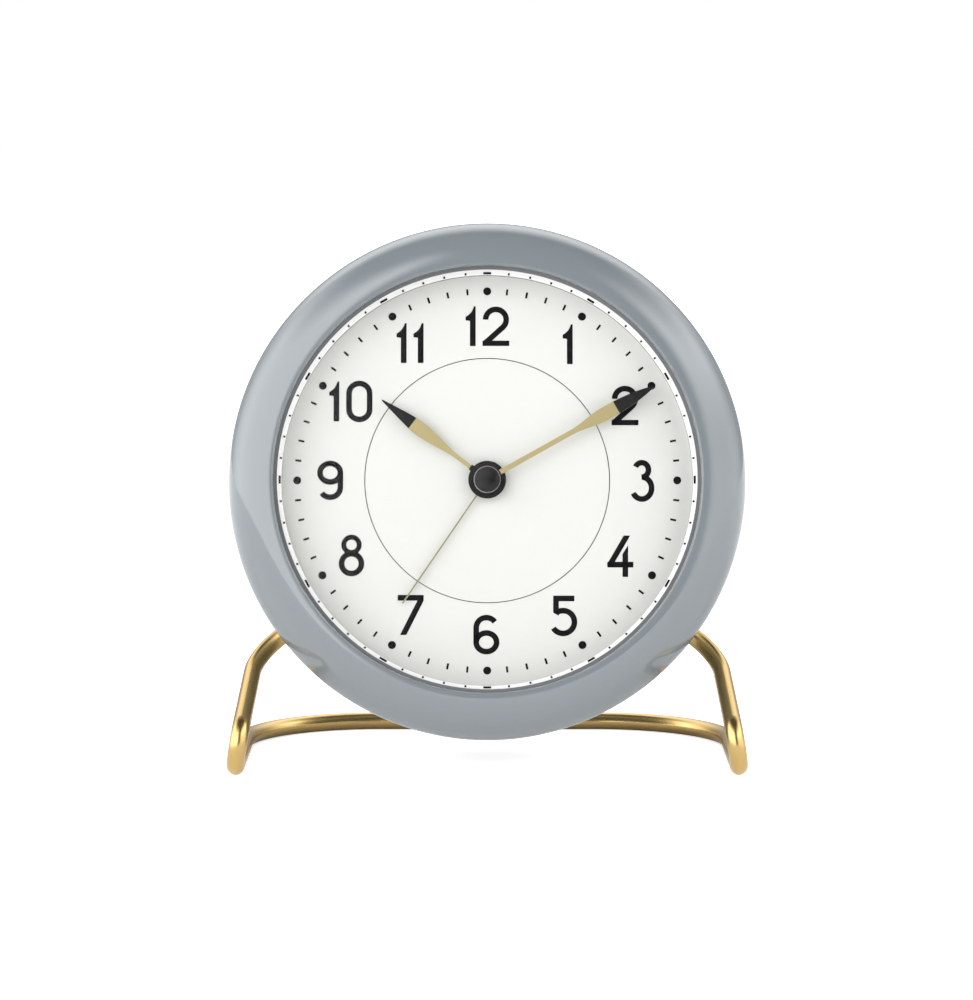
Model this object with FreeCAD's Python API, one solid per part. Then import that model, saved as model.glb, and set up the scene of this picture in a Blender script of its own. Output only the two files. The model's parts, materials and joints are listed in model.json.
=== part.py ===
import FreeCAD, Part
import math
import os

# Round table alarm clock on a bent brass wire stand, in millimetres.
#
# The head (case, dial, movement) is drawn lying on its back: X to the right of the dial, Y towards
# twelve o'clock, Z out of the dial towards the reader, origin at the middle of the dial's face.
# in_head() leans it back and lifts it onto the stand. The finished clock has +Z up, its dial faces
# -Y, and its origin is on the table under the middle of its bounding box.

Vector = FreeCAD.Vector

# Stance
TILT = 9.2                    # the dial leans back by this many degrees
CASE_LIFT = 5.9               # rim of the case above the table, as an upright dial would have it
DIAL_SETBACK = 20.0           # middle of the dial behind the front of the feet

# Case
CASE_RADIUS = 55.0
BEZEL_WIDTH = 10.0            # from the lens opening out to the widest ring
CREST_INSET = 2.4             # the bezel's crest lies this far outside the lens opening
BEZEL_ROUND = 9.5             # depth of the rounded front of the bezel
SIDE_BAND = 7.5               # straight band from the rounded front to the parting line
PARTING_GAP = 0.4             # shadow line between bezel and rear shell
DOME_DEPTH = 30.6             # rear shell, parting line to back
BACK_RADIUS = 42.0            # flat part of the back
WALL = 2.4
FIT = 0.2                     # play between moulded pieces
SPIGOT_LENGTH = 3.0           # rear shell's rim inside the bezel
SPIGOT_WALL = 2.0

# Lens and dial stack, from the dial's face forwards
RING_HEIGHT = 3.4
RING_WIDTH = 1.5              # sloping white ring, as wide as it looks from the front
RING_EDGE = 1.9               # inner edge of the slope, above the dial
RING_FOOT_INSET = 0.6         # foot of the ring, back from that edge
RING_FOOT_HEIGHT = 0.8
LENS_THICKNESS = 1.8
LENS_SAG = 1.6                # how far the glass domes out
LENS_OVERLAP = 1.2            # glass under the bezel's lip
LENS_FLANGE = 1.9             # flat rim of the glass
GASKET_THICKNESS = 0.2
GASKET_SHOWS = 0.65           # inner edge of the gasket, inside the bezel's lip
LIP_EDGE = 0.6
LIP_ROUND = 2.0
DIAL_THICKNESS = 0.8
CARRIER_THICKNESS = 2.0
CARRIER_RIB_HEIGHT = 3.0
CARRIER_RIB_WIDTH = 1.5
CARRIER_RIB_RADIUS = 38.0
POCKET_WALL = 2.2

# Fasteners
SCREW_PLAY = 0.02             # thread of a screw in its pilot hole
CARRIER_SCREW_RADIUS = 0.8
CARRIER_SCREW_DEPTH = 3.6
CARRIER_SCREW_ANGLES = (0.0, 90.0, 180.0, 270.0)
CASE_SCREW_RADIUS = 1.0
CASE_SCREW_DEPTH = 5.0
CASE_SCREW_CIRCLE = 44.0
CASE_SCREW_ANGLES = (55.0, 125.0, 235.0, 305.0)
CASE_BOSS_RADIUS = 3.2
CASE_BOSS_HEIGHT = 6.2
CASE_COLUMN_RADIUS = 3.6
CASE_COLUMN_FLOOR = 5.0       # solid end of each column, under the screw's head
MOVEMENT_SCREW_RADIUS = 0.8
MOVEMENT_SCREW_DEPTH = 3.0
HEAD_SHARE = 2.2              # screw head radius over thread radius
HEAD_HEIGHT_SHARE = 1.4       # screw head height over thread radius
HEAD_ROOM = 0.4

# Hands
ALARM_ANGLE = 214.4           # clockwise from twelve
HOUR_ANGLE = 307.2
MINUTE_ANGLE = 60.8
ALARM_HAND_LENGTH = 31.7
ALARM_HAND_WIDTH = 0.35
ALARM_HUB_RADIUS = 3.0
HOUR_HAND_LENGTH = 28.0
HOUR_SHANK_WIDTH = 0.85
HOUR_SHANK_END = 6.8
HOUR_BLADE_WIDTH = 3.0
HOUR_WIDEST = 18.4
HOUR_TIP_SWELL = 0.18         # how far along the tip its sides stay full, as a share
HOUR_HUB_RADIUS = 4.0
HOUR_TAB_WIDTH = 1.25
HOUR_TAB_REACH = 4.5          # tab of the hub under the start of the shank
MINUTE_HAND_LENGTH = 40.4
MINUTE_SHANK_WIDTH = 1.05
MINUTE_SHANK_END = 19.8
MINUTE_BLADE_WIDTH = 2.9
MINUTE_WIDEST = 29.2
MINUTE_TIP_SWELL = 0.62
MINUTE_HUB_RADIUS = 2.9
FLARE_HANDLE = 0.45           # how softly shank and blade flow together, as a share of the flare
TIP_WIDTH = 0.25
ALARM_HAND_Z = 0.9
HOUR_HAND_Z = 1.9
MINUTE_HAND_Z = 2.9
HAND_THICKNESS = 0.4
CAP_HEIGHT = 0.9
CAP_INSET = 0.18              # bright edge of the minute hand's hub left round its cap

# Arbors and pipes of the hands
ARBOR_RADIUS = 0.75
PIPE_PLAY = 0.05
HOUR_PIPE_WALL = 0.6
ALARM_PIPE_WALL = 0.55
BUSHING_WALL = 1.15
BUSHING_PROUD = 0.5           # bushing in front of the dial
PIVOT_RADIUS = 0.3
PIVOT_PLAY = 0.05

# Movement box
MOVEMENT_WIDTH = 50.0
MOVEMENT_CORNER = 4.0
MOVEMENT_FLOOR = 1.5
MOVEMENT_DEPTH = 12.8         # front plate to the joint with the cover
MOVEMENT_WALL = 1.2
COVER_THICKNESS = 1.4
BRIDGE_THICKNESS = 1.0
BRIDGE_PLAY = 0.4
PILLAR_RADIUS = 2.0
PILLAR_PLACE = 20.0           # pillars stand at plus and minus this in X and Y
EAR_X = 28.4
EAR_Y = 18.0
EAR_RADIUS = 3.0
EAR_THICKNESS = 1.5
POST_HEIGHT = 4.0

# Wheel layers: depth of the front face of each behind the dial, and thickness
WHEEL_THICKNESS = 1.0
ALARM_LAYER = 4.5
HOUR_LAYER = 5.8
MOTION_LAYER = 7.4
BRIDGE_LAYER = 8.7
CENTRE_LAYER = 10.0
THIRD_LAYER = 11.2
SECOND_LAYER = 12.4
TRAIN_THICKNESS = 0.8
PINION_EXTRA = 0.1            # a pinion is this much longer than its wheel, each way
PINION_CORE = 0.9             # arbor radius over the root radius of its pinion
COLLAR_RADIUS = 1.5           # of the minute arbor, in front of the centre wheel
CLUTCH_RADIUS = 2.25

# Teeth: shares of the module, and of the pitch
ADDENDUM = 0.7
DEDENDUM = 1.2
TOOTH_SHARE = 0.38
FLANK_ANGLE = 22.0
MOTION_MODULE = 0.35
ALARM_MODULE = 0.35
CENTRE_MODULE = 0.25
TRAIN_MODULE = 0.2
CANNON_TEETH = 12
MOTION_TEETH = 36
MOTION_PINION_TEETH = 10
HOUR_TEETH = 40
SET_TEETH = 12
ALARM_TEETH = 60
ALARM_SET_TEETH = 15
CENTRE_TEETH = 64
THIRD_TEETH = 60
SECOND_TEETH = 48
PINION_TEETH = 8

# Setting stems and knobs
STEM_ANGLE = 31.2             # both setting arbors stand this far above the horizontal
SET_ARBOR_RADIUS = 1.0
SET_PIVOT_RADIUS = 0.6
SET_PIVOT_LENGTH = 1.0
STEM_RADIUS = 1.9
STEM_PLAY = 0.1
BEARING_RADIUS = 4.0
BEARING_LENGTH = 5.0
KNOB_RADIUS = 7.0
KNOB_HEIGHT = 6.0
KNOB_GAP = 0.8
KNOB_TOP = 0.8                # knob's outer face over the end of its stem
KNOB_FLUTES = 20
FLUTE_RADIUS = 0.7
KNOB_DISH = 0.6

# Motor
ROTOR_RADIUS = 2.3
ROTOR_HEIGHT = 1.2
ROTOR_BORE_PLAY = 0.5
STATOR_THICKNESS = 0.8
STATOR_BAR = (3.8, 12.5)      # its bar round the rotor, from and to in X
STATOR_ENDS = (-17.5, 4.5)    # bottom and top in Y
STATOR_ARM = 4.0              # height of each arm
STATOR_REACH = 21.0
COIL_X = 17.5
COIL_RADIUS = 2.2
WINDING_RADIUS = 1.9
FLANGE_THICKNESS = 0.6
CORE_WIDTH = 2.4
CORE_THICKNESS = 1.0
BOARD_THICKNESS = 1.0
BOARD_BOX = (-16.0, -22.0, 18.0, 6.5)     # X, Y, width, height of the movement's board
CRYSTAL_INSET = 2.2           # crystal and chip, from the two ends of the board
CHIP_INSET = 4.5
CRYSTAL_RADIUS = 1.0
CRYSTAL_LENGTH = 6.0
CHIP_SIZE = 4.5
CHIP_HEIGHT = 1.0
LEAF_LENGTH = 18.0
LEAF_WIDTH = 3.0
LEAF_THICKNESS = 0.15
LEAF_TIP_X = -3.0
LEAF_GAP = 0.25               # alarm leaf behind the hour wheel

# Battery
CELL_RADIUS = 7.1
CELL_LENGTH = 49.5
CELL_NUB_RADIUS = 2.7
CELL_NUB_LENGTH = 1.0
CELL_Y = -16.0
CELL_BACK = 4.9               # back of the clock behind the cell
CELL_PLAY = 0.3
CONTACT_ROOM = 3.5            # at each end of the cell
CONTACT_THICKNESS = 0.4
CONTACT_BOW = 0.1             # contact short of the cell
CONTACT_CONE = 5.1
TUB_WALL = 1.4
DOOR_THICKNESS = 1.5
DOOR_BORDER = 1.6
DOOR_CORNER = 2.5
DOOR_PLAY = 0.25
DOOR_ARM = 5.0
DOOR_ARM_WIDTH = 12.0
DOOR_ARM_THICKNESS = 1.0
DOOR_RIBS = 5
DOOR_RIB_PITCH = 1.8
DOOR_RIB_DEPTH = 0.5

# Alarm controls on the back
SNOOZE_Y = 30.0
SNOOZE_WIDTH = 24.0
SNOOZE_HEIGHT = 7.0
SNOOZE_TRAVEL = 1.2
SLIDER_Y = 20.0
SLIDER_TRAVEL = 5.0
SLIDER_WIDTH = 4.0
SLIDER_HEIGHT = 3.0
SLIDER_CORNER = 1.0
CONTROL_PROUD = 2.0           # button and slider in front of the back
CONTROL_PLAY = 0.3
FLANGE_EDGE = 1.5
CONTROL_FLANGE = 1.2
REAR_BOARD_WIDTH = 41.0
REAR_BOARD_HEIGHT = 22.0
REAR_BOARD_Y = 25.0
REAR_BOARD_STANDOFF = 5.4
REAR_BOARD_THICKNESS = 1.2
REAR_BOARD_CORNER = 1.0
REAR_BOSS_X = 17.5
REAR_BOSS_RADIUS = 2.2
PLUNGER_RADIUS = 1.7
PLUNGER_HEIGHT = 0.5
PLUNGER_GAP = 0.1             # left between button and plunger when the button is down
SWITCH_SIZE = 6.0
SWITCH_LENGTH = 13.0
SWITCH_HEIGHT = 2.6           # push or slide switch, plunger included
SOUNDER_RADIUS = 10.0
SOUNDER_HEIGHT = 4.2
SOUNDER_X = -27.0
SOUNDER_Y = 4.0
SOUND_HOLE_RADIUS = 0.9
SOUND_HOLE_CIRCLE = 4.0
SOUND_HOLES = 6

# Stand
WIRE_RADIUS = 1.9
STAND_DEPTH = 71.5            # front of the feet to the back of the base
FOOT_INSET = 0.2              # outer side of each foot, inside the case's widest ring
FOOT_BEND = 5.0
SHOULDER_BEND = 10.5
BASE_CORNER = 29.0
SOCKET_ANGLE = -36.4          # where the wire enters the shell, from the horizontal
SOCKET_DEPTH = 14.0           # behind the dial's face
SOCKET_INSERT = 10.4          # wire inside the shell
SOCKET_WALL = 2.2
SOCKET_PLAY = 0.05
SHOULDER_STANDOFF = 6.7       # corner of wire and leg, outside the case's widest ring
GRUB_RADIUS = 1.0
GRUB_INSET = 6.6              # set screw, inside the shell's surface along the wire

# Worked out from the sizes above
DIAL_HEIGHT = CASE_RADIUS + CASE_LIFT
FOOT_HALF_SPACING = CASE_RADIUS - FOOT_INSET - WIRE_RADIUS
SHOULDER_REACH = CASE_RADIUS + SHOULDER_STANDOFF

LENS_OPENING = CASE_RADIUS - BEZEL_WIDTH
LENS_RADIUS = LENS_OPENING + LENS_OVERLAP
POCKET_RADIUS = LENS_RADIUS + FIT
GROOVE_INNER = POCKET_RADIUS + POCKET_WALL
SKIRT_INNER = CASE_RADIUS - WALL
SEAT_Z = RING_HEIGHT + LENS_THICKNESS + GASKET_THICKNESS
LIP_Z = SEAT_Z + LIP_EDGE
CREST_Z = LIP_Z + LIP_ROUND
CREST_RADIUS = LENS_OPENING + CREST_INSET
GROOVE_TOP_Z = CREST_Z - WALL - FIT
WIDEST_Z = CREST_Z - BEZEL_ROUND
PARTING_Z = WIDEST_Z - SIDE_BAND
SHELL_FRONT_Z = PARTING_Z - PARTING_GAP
BACK_Z = SHELL_FRONT_Z - DOME_DEPTH
BACK_INSIDE_Z = BACK_Z + WALL
SPIGOT_OUTER = SKIRT_INNER - FIT
SPIGOT_INNER = SPIGOT_OUTER - SPIGOT_WALL
CARRIER_BACK_Z = -DIAL_THICKNESS - CARRIER_THICKNESS
CARRIER_SCREW_CIRCLE = (GROOVE_INNER + SKIRT_INNER) / 2
CASE_BOSS_END_Z = CARRIER_BACK_Z - CASE_BOSS_HEIGHT
CASE_HEAD_Z = CASE_BOSS_END_Z - CASE_COLUMN_FLOOR

HOUR_PIPE_BORE = ARBOR_RADIUS + PIPE_PLAY
HOUR_PIPE_RADIUS = HOUR_PIPE_BORE + HOUR_PIPE_WALL
ALARM_PIPE_BORE = HOUR_PIPE_RADIUS + PIPE_PLAY
ALARM_PIPE_RADIUS = ALARM_PIPE_BORE + ALARM_PIPE_WALL
BUSHING_BORE = ALARM_PIPE_RADIUS + PIPE_PLAY
BUSHING_RADIUS = BUSHING_BORE + BUSHING_WALL

FLOOR_BACK_Z = CARRIER_BACK_Z - MOVEMENT_FLOOR
COVER_Z = CARRIER_BACK_Z - MOVEMENT_DEPTH
COVER_BACK_Z = COVER_Z - COVER_THICKNESS
BRIDGE_BACK_Z = -BRIDGE_LAYER - BRIDGE_THICKNESS
POST_END_Z = CARRIER_BACK_Z - POST_HEIGHT
STEM_START_Z = COVER_BACK_Z - FIT
KNOB_Z = BACK_Z - KNOB_GAP
STEM_END_Z = KNOB_Z - KNOB_HEIGHT + KNOB_TOP

CELL_Z = BACK_Z + CELL_BACK + CELL_RADIUS
TUB_FLOOR_Z = CELL_Z + CELL_RADIUS + CELL_PLAY
TUB_HALF_HEIGHT = CELL_RADIUS + CELL_PLAY
TUB_HALF_WIDTH = CELL_LENGTH / 2 + CONTACT_ROOM
REAR_BOARD_BACK_Z = BACK_INSIDE_Z + REAR_BOARD_STANDOFF

MOTION_DISTANCE = (CANNON_TEETH + MOTION_TEETH) * MOTION_MODULE / 2
HOUR_MODULE = 2 * MOTION_DISTANCE / (HOUR_TEETH + MOTION_PINION_TEETH)
STEM_DISTANCE = (ALARM_TEETH + ALARM_SET_TEETH) * ALARM_MODULE / 2
THIRD_DISTANCE = (CENTRE_TEETH + PINION_TEETH) * CENTRE_MODULE / 2
SECOND_DISTANCE = (THIRD_TEETH + PINION_TEETH) * TRAIN_MODULE / 2
ROTOR_DISTANCE = (SECOND_TEETH + PINION_TEETH) * TRAIN_MODULE / 2
THIRD_DIRECTION = -120.0      # from the centre arbor, seen from the front
SECOND_DIRECTION = -10.0      # from the third wheel
ROTOR_DIRECTION = 20.0        # from the second wheel

HEAD = FreeCAD.Placement(
    Vector(0, DIAL_SETBACK - STAND_DEPTH / 2, DIAL_HEIGHT),
    FreeCAD.Rotation(Vector(1, 0, 0), 90 - TILT),
)


def polar(distance, degrees, start=Vector()):
    """Point at a distance and direction from a start, in the plane of the dial."""
    angle = math.radians(degrees)
    return start + Vector(distance * math.cos(angle), distance * math.sin(angle), 0)


def motion_place():
    """The motion wheel stands one gear distance from both the centre and the time setting arbor."""
    half = STEM_DISTANCE / 2
    aside = math.sqrt(MOTION_DISTANCE ** 2 - half ** 2)
    return polar(half, STEM_ANGLE) + polar(aside, STEM_ANGLE + 90)


TIME_STEM = polar(STEM_DISTANCE, STEM_ANGLE)
ALARM_STEM = polar(STEM_DISTANCE, 180 - STEM_ANGLE)
MOTION_PLACE = motion_place()
THIRD_PLACE = polar(THIRD_DISTANCE, THIRD_DIRECTION)
SECOND_PLACE = polar(SECOND_DISTANCE, SECOND_DIRECTION, THIRD_PLACE)
ROTOR_PLACE = polar(ROTOR_DISTANCE, ROTOR_DIRECTION, SECOND_PLACE)


def line(start, end):
    return Part.LineSegment(start, end).toShape()


def rz(radius, height):
    """Point of a profile that is turned round the dial's axis."""
    return Vector(radius, 0, height)


def quarter_ellipse(start, corner, end):
    """Exact quarter of an ellipse that touches both sides of the given corner."""
    curve = Part.BezierCurve()
    curve.setPoles([start, corner, end])
    curve.setWeight(2, math.sqrt(0.5))
    return curve.toShape()


def bezier(*poles):
    curve = Part.BezierCurve()
    curve.setPoles(list(poles))
    return curve.toShape()


def turned(edges):
    """Solid of revolution about the dial's axis, from a closed profile."""
    face = Part.Face(Part.Wire(edges))
    return face.revolve(Vector(), Vector(0, 0, 1), 360)


def turned_polygon(*points):
    edges = []
    for start, end in zip(points, points[1:] + points[:1]):
        edges.append(line(start, end))
    return turned(edges)


def cylinder(radius, low, high, place=Vector()):
    return Part.makeCylinder(radius, high - low, Vector(place.x, place.y, low))


def tube(outer, inner, low, high, place=Vector()):
    return cylinder(outer, low, high, place).cut(cylinder(inner, low, high, place))


def plate(width, height, corner, low, high, place=Vector()):
    """Rounded rectangle about a place, from a low to a high Z."""
    box = Part.makeBox(width, height, high - low, Vector(place.x - width / 2, place.y - height / 2, low))
    upright = [edge for edge in box.Edges if abs(edge.tangentAt(edge.FirstParameter).z) > 0.5]
    return box.makeFillet(corner, upright)


def corner_places(x, y):
    return [Vector(x, y, 0), Vector(-x, y, 0), Vector(-x, -y, 0), Vector(x, -y, 0)]


def joined(first, others):
    return first.fuse(others).removeSplitter()


def screw(radius, depth, seat, low_tip, place):
    """Pan head screw: its head sits on the seat and its thread runs from there, up or down."""
    head_height = HEAD_HEIGHT_SHARE * radius
    thread = radius - SCREW_PLAY
    if low_tip:
        head = cylinder(HEAD_SHARE * radius, seat, seat + head_height, place)
        shank = cylinder(thread, seat - depth, seat, place)
    else:
        head = cylinder(HEAD_SHARE * radius, seat - head_height, seat, place)
        shank = cylinder(thread, seat, seat + depth, place)
    return head.fuse(shank).removeSplitter()


def gear(teeth, module, front, thickness, place, phase):
    """Gear with straight sided teeth. The phase is the direction of one tooth, in radians."""
    pitch = teeth * module / 2
    tip = pitch + ADDENDUM * module
    root = pitch - DEDENDUM * module
    lean = math.tan(math.radians(FLANK_ANGLE)) * module / pitch
    half = TOOTH_SHARE * math.pi / teeth
    half_tip = half - ADDENDUM * lean
    half_root = half + DEDENDUM * lean
    points = []
    for tooth in range(teeth):
        middle = phase + 2 * math.pi * tooth / teeth
        for radius, aside in ((root, -half_root), (tip, -half_tip), (tip, half_tip), (root, half_root)):
            angle = middle + aside
            offset = Vector(radius * math.cos(angle), radius * math.sin(angle), -front - thickness)
            points.append(offset + place)
    points.append(points[0])
    return Part.Face(Part.makePolygon(points)).extrude(Vector(0, 0, thickness))


def meshing_phase(phase, teeth, place, other_teeth, other_place):
    """Phase that puts the other gear's gaps over this gear's teeth."""
    direction = math.atan2(other_place.y - place.y, other_place.x - place.x)
    pitches = (phase - direction) * teeth / (2 * math.pi)
    other_pitch = 2 * math.pi / other_teeth
    return direction + math.pi + (0.5 - pitches) * other_pitch


def bezel():
    """Hollow front ring: rounded front, lip over the glass, open groove at the back."""
    ring = turned([
        line(rz(LENS_OPENING, SEAT_Z), rz(LENS_OPENING, LIP_Z)),
        quarter_ellipse(rz(LENS_OPENING, LIP_Z), rz(LENS_OPENING, CREST_Z), rz(CREST_RADIUS, CREST_Z)),
        quarter_ellipse(rz(CREST_RADIUS, CREST_Z), rz(CASE_RADIUS, CREST_Z), rz(CASE_RADIUS, WIDEST_Z)),
        line(rz(CASE_RADIUS, WIDEST_Z), rz(CASE_RADIUS, PARTING_Z)),
        line(rz(CASE_RADIUS, PARTING_Z), rz(SKIRT_INNER, PARTING_Z)),
        line(rz(SKIRT_INNER, PARTING_Z), rz(SKIRT_INNER, WIDEST_Z)),
        quarter_ellipse(
            rz(SKIRT_INNER, WIDEST_Z), rz(SKIRT_INNER, GROOVE_TOP_Z), rz(GROOVE_INNER, GROOVE_TOP_Z)),
        line(rz(GROOVE_INNER, GROOVE_TOP_Z), rz(GROOVE_INNER, -DIAL_THICKNESS)),
        line(rz(GROOVE_INNER, -DIAL_THICKNESS), rz(POCKET_RADIUS, -DIAL_THICKNESS)),
        line(rz(POCKET_RADIUS, -DIAL_THICKNESS), rz(POCKET_RADIUS, SEAT_Z)),
        line(rz(POCKET_RADIUS, SEAT_Z), rz(LENS_OPENING, SEAT_Z)),
    ])
    boss_radius = (SKIRT_INNER - GROOVE_INNER) / 2 + FIT
    bosses = []
    pilots = []
    for angle in CARRIER_SCREW_ANGLES:
        place = polar(CARRIER_SCREW_CIRCLE, angle)
        bosses.append(cylinder(boss_radius, -DIAL_THICKNESS, CARRIER_SCREW_DEPTH, place))
        pilots.append(cylinder(
            CARRIER_SCREW_RADIUS, -DIAL_THICKNESS, CARRIER_SCREW_DEPTH - DIAL_THICKNESS, place))
    return ring.fuse(bosses).cut(pilots)


def lens():
    """Domed glass with a flat rim."""
    dome_radius = LENS_RADIUS - LENS_FLANGE
    sphere = (dome_radius ** 2 + LENS_SAG ** 2) / (2 * LENS_SAG)
    half_rise = math.sqrt(sphere ** 2 - (dome_radius / 2) ** 2) - (sphere - LENS_SAG)
    back = RING_HEIGHT
    front = RING_HEIGHT + LENS_THICKNESS

    def dome(height):
        middle = rz(dome_radius / 2, height + half_rise)
        return Part.Arc(rz(0, height + LENS_SAG), middle, rz(dome_radius, height)).toShape()

    return turned([
        dome(back),
        line(rz(dome_radius, back), rz(LENS_RADIUS, back)),
        line(rz(LENS_RADIUS, back), rz(LENS_RADIUS, front)),
        line(rz(LENS_RADIUS, front), rz(dome_radius, front)),
        dome(front),
        line(rz(0, front + LENS_SAG), rz(0, back + LENS_SAG)),
    ])


def lens_gasket():
    return tube(LENS_RADIUS, LENS_OPENING - GASKET_SHOWS, SEAT_Z - GASKET_THICKNESS, SEAT_Z)


def dial_ring():
    """White sloping ring between the dial and the glass, its edge held clear of the dial by a foot."""
    edge = LENS_OPENING - RING_WIDTH
    foot = edge + RING_FOOT_INSET
    return turned_polygon(
        rz(foot, 0),
        rz(foot, RING_FOOT_HEIGHT),
        rz(edge, RING_FOOT_HEIGHT),
        rz(edge, RING_EDGE),
        rz(LENS_OPENING, RING_HEIGHT),
        rz(LENS_RADIUS, RING_HEIGHT),
        rz(LENS_RADIUS, 0),
    )


def dial():
    return tube(LENS_RADIUS, BUSHING_RADIUS + FIT, -DIAL_THICKNESS, 0)


def ear_places():
    return corner_places(EAR_X, EAR_Y)


def dial_carrier():
    """Plate behind the dial. The movement and the rear shell are screwed to its posts and bosses."""
    disc = cylinder(SKIRT_INNER - FIT, CARRIER_BACK_Z, -DIAL_THICKNESS)
    rib = tube(
        CARRIER_RIB_RADIUS + CARRIER_RIB_WIDTH, CARRIER_RIB_RADIUS,
        CARRIER_BACK_Z - CARRIER_RIB_HEIGHT, CARRIER_BACK_Z)
    added = [rib]
    holes = [cylinder(BUSHING_RADIUS + FIT, CARRIER_BACK_Z, -DIAL_THICKNESS)]
    for angle in CASE_SCREW_ANGLES:
        place = polar(CASE_SCREW_CIRCLE, angle)
        added.append(cylinder(CASE_BOSS_RADIUS, CASE_BOSS_END_Z, CARRIER_BACK_Z, place))
        holes.append(cylinder(CASE_SCREW_RADIUS, CASE_BOSS_END_Z, CASE_BOSS_END_Z + CASE_SCREW_DEPTH, place))
    for place in ear_places():
        added.append(cylinder(EAR_RADIUS - FIT, POST_END_Z, CARRIER_BACK_Z, place))
        holes.append(cylinder(MOVEMENT_SCREW_RADIUS, POST_END_Z, POST_END_Z + MOVEMENT_SCREW_DEPTH, place))
    for angle in CARRIER_SCREW_ANGLES:
        place = polar(CARRIER_SCREW_CIRCLE, angle)
        holes.append(cylinder(CARRIER_SCREW_RADIUS + FIT, CARRIER_BACK_Z, -DIAL_THICKNESS, place))
    return disc.fuse(added).cut(holes)


def carrier_screws():
    length = CARRIER_THICKNESS + CARRIER_SCREW_DEPTH - SCREW_PLAY
    screws = []
    for angle in CARRIER_SCREW_ANGLES:
        place = polar(CARRIER_SCREW_CIRCLE, angle)
        screws.append(screw(CARRIER_SCREW_RADIUS, length, CARRIER_BACK_Z, False, place))
    return Part.makeCompound(screws)


def shell_solid(rim):
    """Outer form of the rear shell: a spigot, then an elliptic dome to a flat back."""
    return turned([
        line(rz(0, rim), rz(SPIGOT_OUTER, rim)),
        line(rz(SPIGOT_OUTER, rim), rz(SPIGOT_OUTER, SHELL_FRONT_Z)),
        line(rz(SPIGOT_OUTER, SHELL_FRONT_Z), rz(CASE_RADIUS, SHELL_FRONT_Z)),
        quarter_ellipse(rz(CASE_RADIUS, SHELL_FRONT_Z), rz(CASE_RADIUS, BACK_Z), rz(BACK_RADIUS, BACK_Z)),
        line(rz(BACK_RADIUS, BACK_Z), rz(0, BACK_Z)),
        line(rz(0, BACK_Z), rz(0, rim)),
    ])


def shell_hollow(rim):
    return turned([
        line(rz(0, rim), rz(SPIGOT_INNER, rim)),
        line(rz(SPIGOT_INNER, rim), rz(SPIGOT_INNER, SHELL_FRONT_Z)),
        quarter_ellipse(
            rz(SPIGOT_INNER, SHELL_FRONT_Z), rz(SPIGOT_INNER, BACK_INSIDE_Z),
            rz(BACK_RADIUS - WALL, BACK_INSIDE_Z)),
        line(rz(BACK_RADIUS - WALL, BACK_INSIDE_Z), rz(0, BACK_INSIDE_Z)),
        line(rz(0, BACK_INSIDE_Z), rz(0, rim)),
    ])


def shell_radius(depth):
    """Outer radius of the rear shell, this far behind the dial's face."""
    share = (SHELL_FRONT_Z + depth) / (SHELL_FRONT_Z - BACK_Z)
    return BACK_RADIUS + (CASE_RADIUS - BACK_RADIUS) * math.sqrt(1 - share ** 2)


def socket_directions():
    return (SOCKET_ANGLE, 180 - SOCKET_ANGLE)


def socket_point(distance, direction):
    return polar(distance, direction, Vector(0, 0, -SOCKET_DEPTH))


def wire_end_distance():
    return shell_radius(SOCKET_DEPTH) - SOCKET_INSERT


def cell_box(half_width, half_height, low, high):
    corner = Vector(-half_width, CELL_Y - half_height, low)
    return Part.makeBox(2 * half_width, 2 * half_height, high - low, corner)


def door_place():
    return Vector(0, CELL_Y, 0)


def door_width():
    return 2 * (TUB_HALF_WIDTH + DOOR_BORDER)


def door_height():
    return 2 * (TUB_HALF_HEIGHT + DOOR_BORDER)


def sound_hole_places():
    middle = Vector(SOUNDER_X, SOUNDER_Y, 0)
    places = [middle]
    for hole in range(SOUND_HOLES):
        places.append(polar(SOUND_HOLE_CIRCLE, 360.0 * hole / SOUND_HOLES, middle))
    return places


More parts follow.
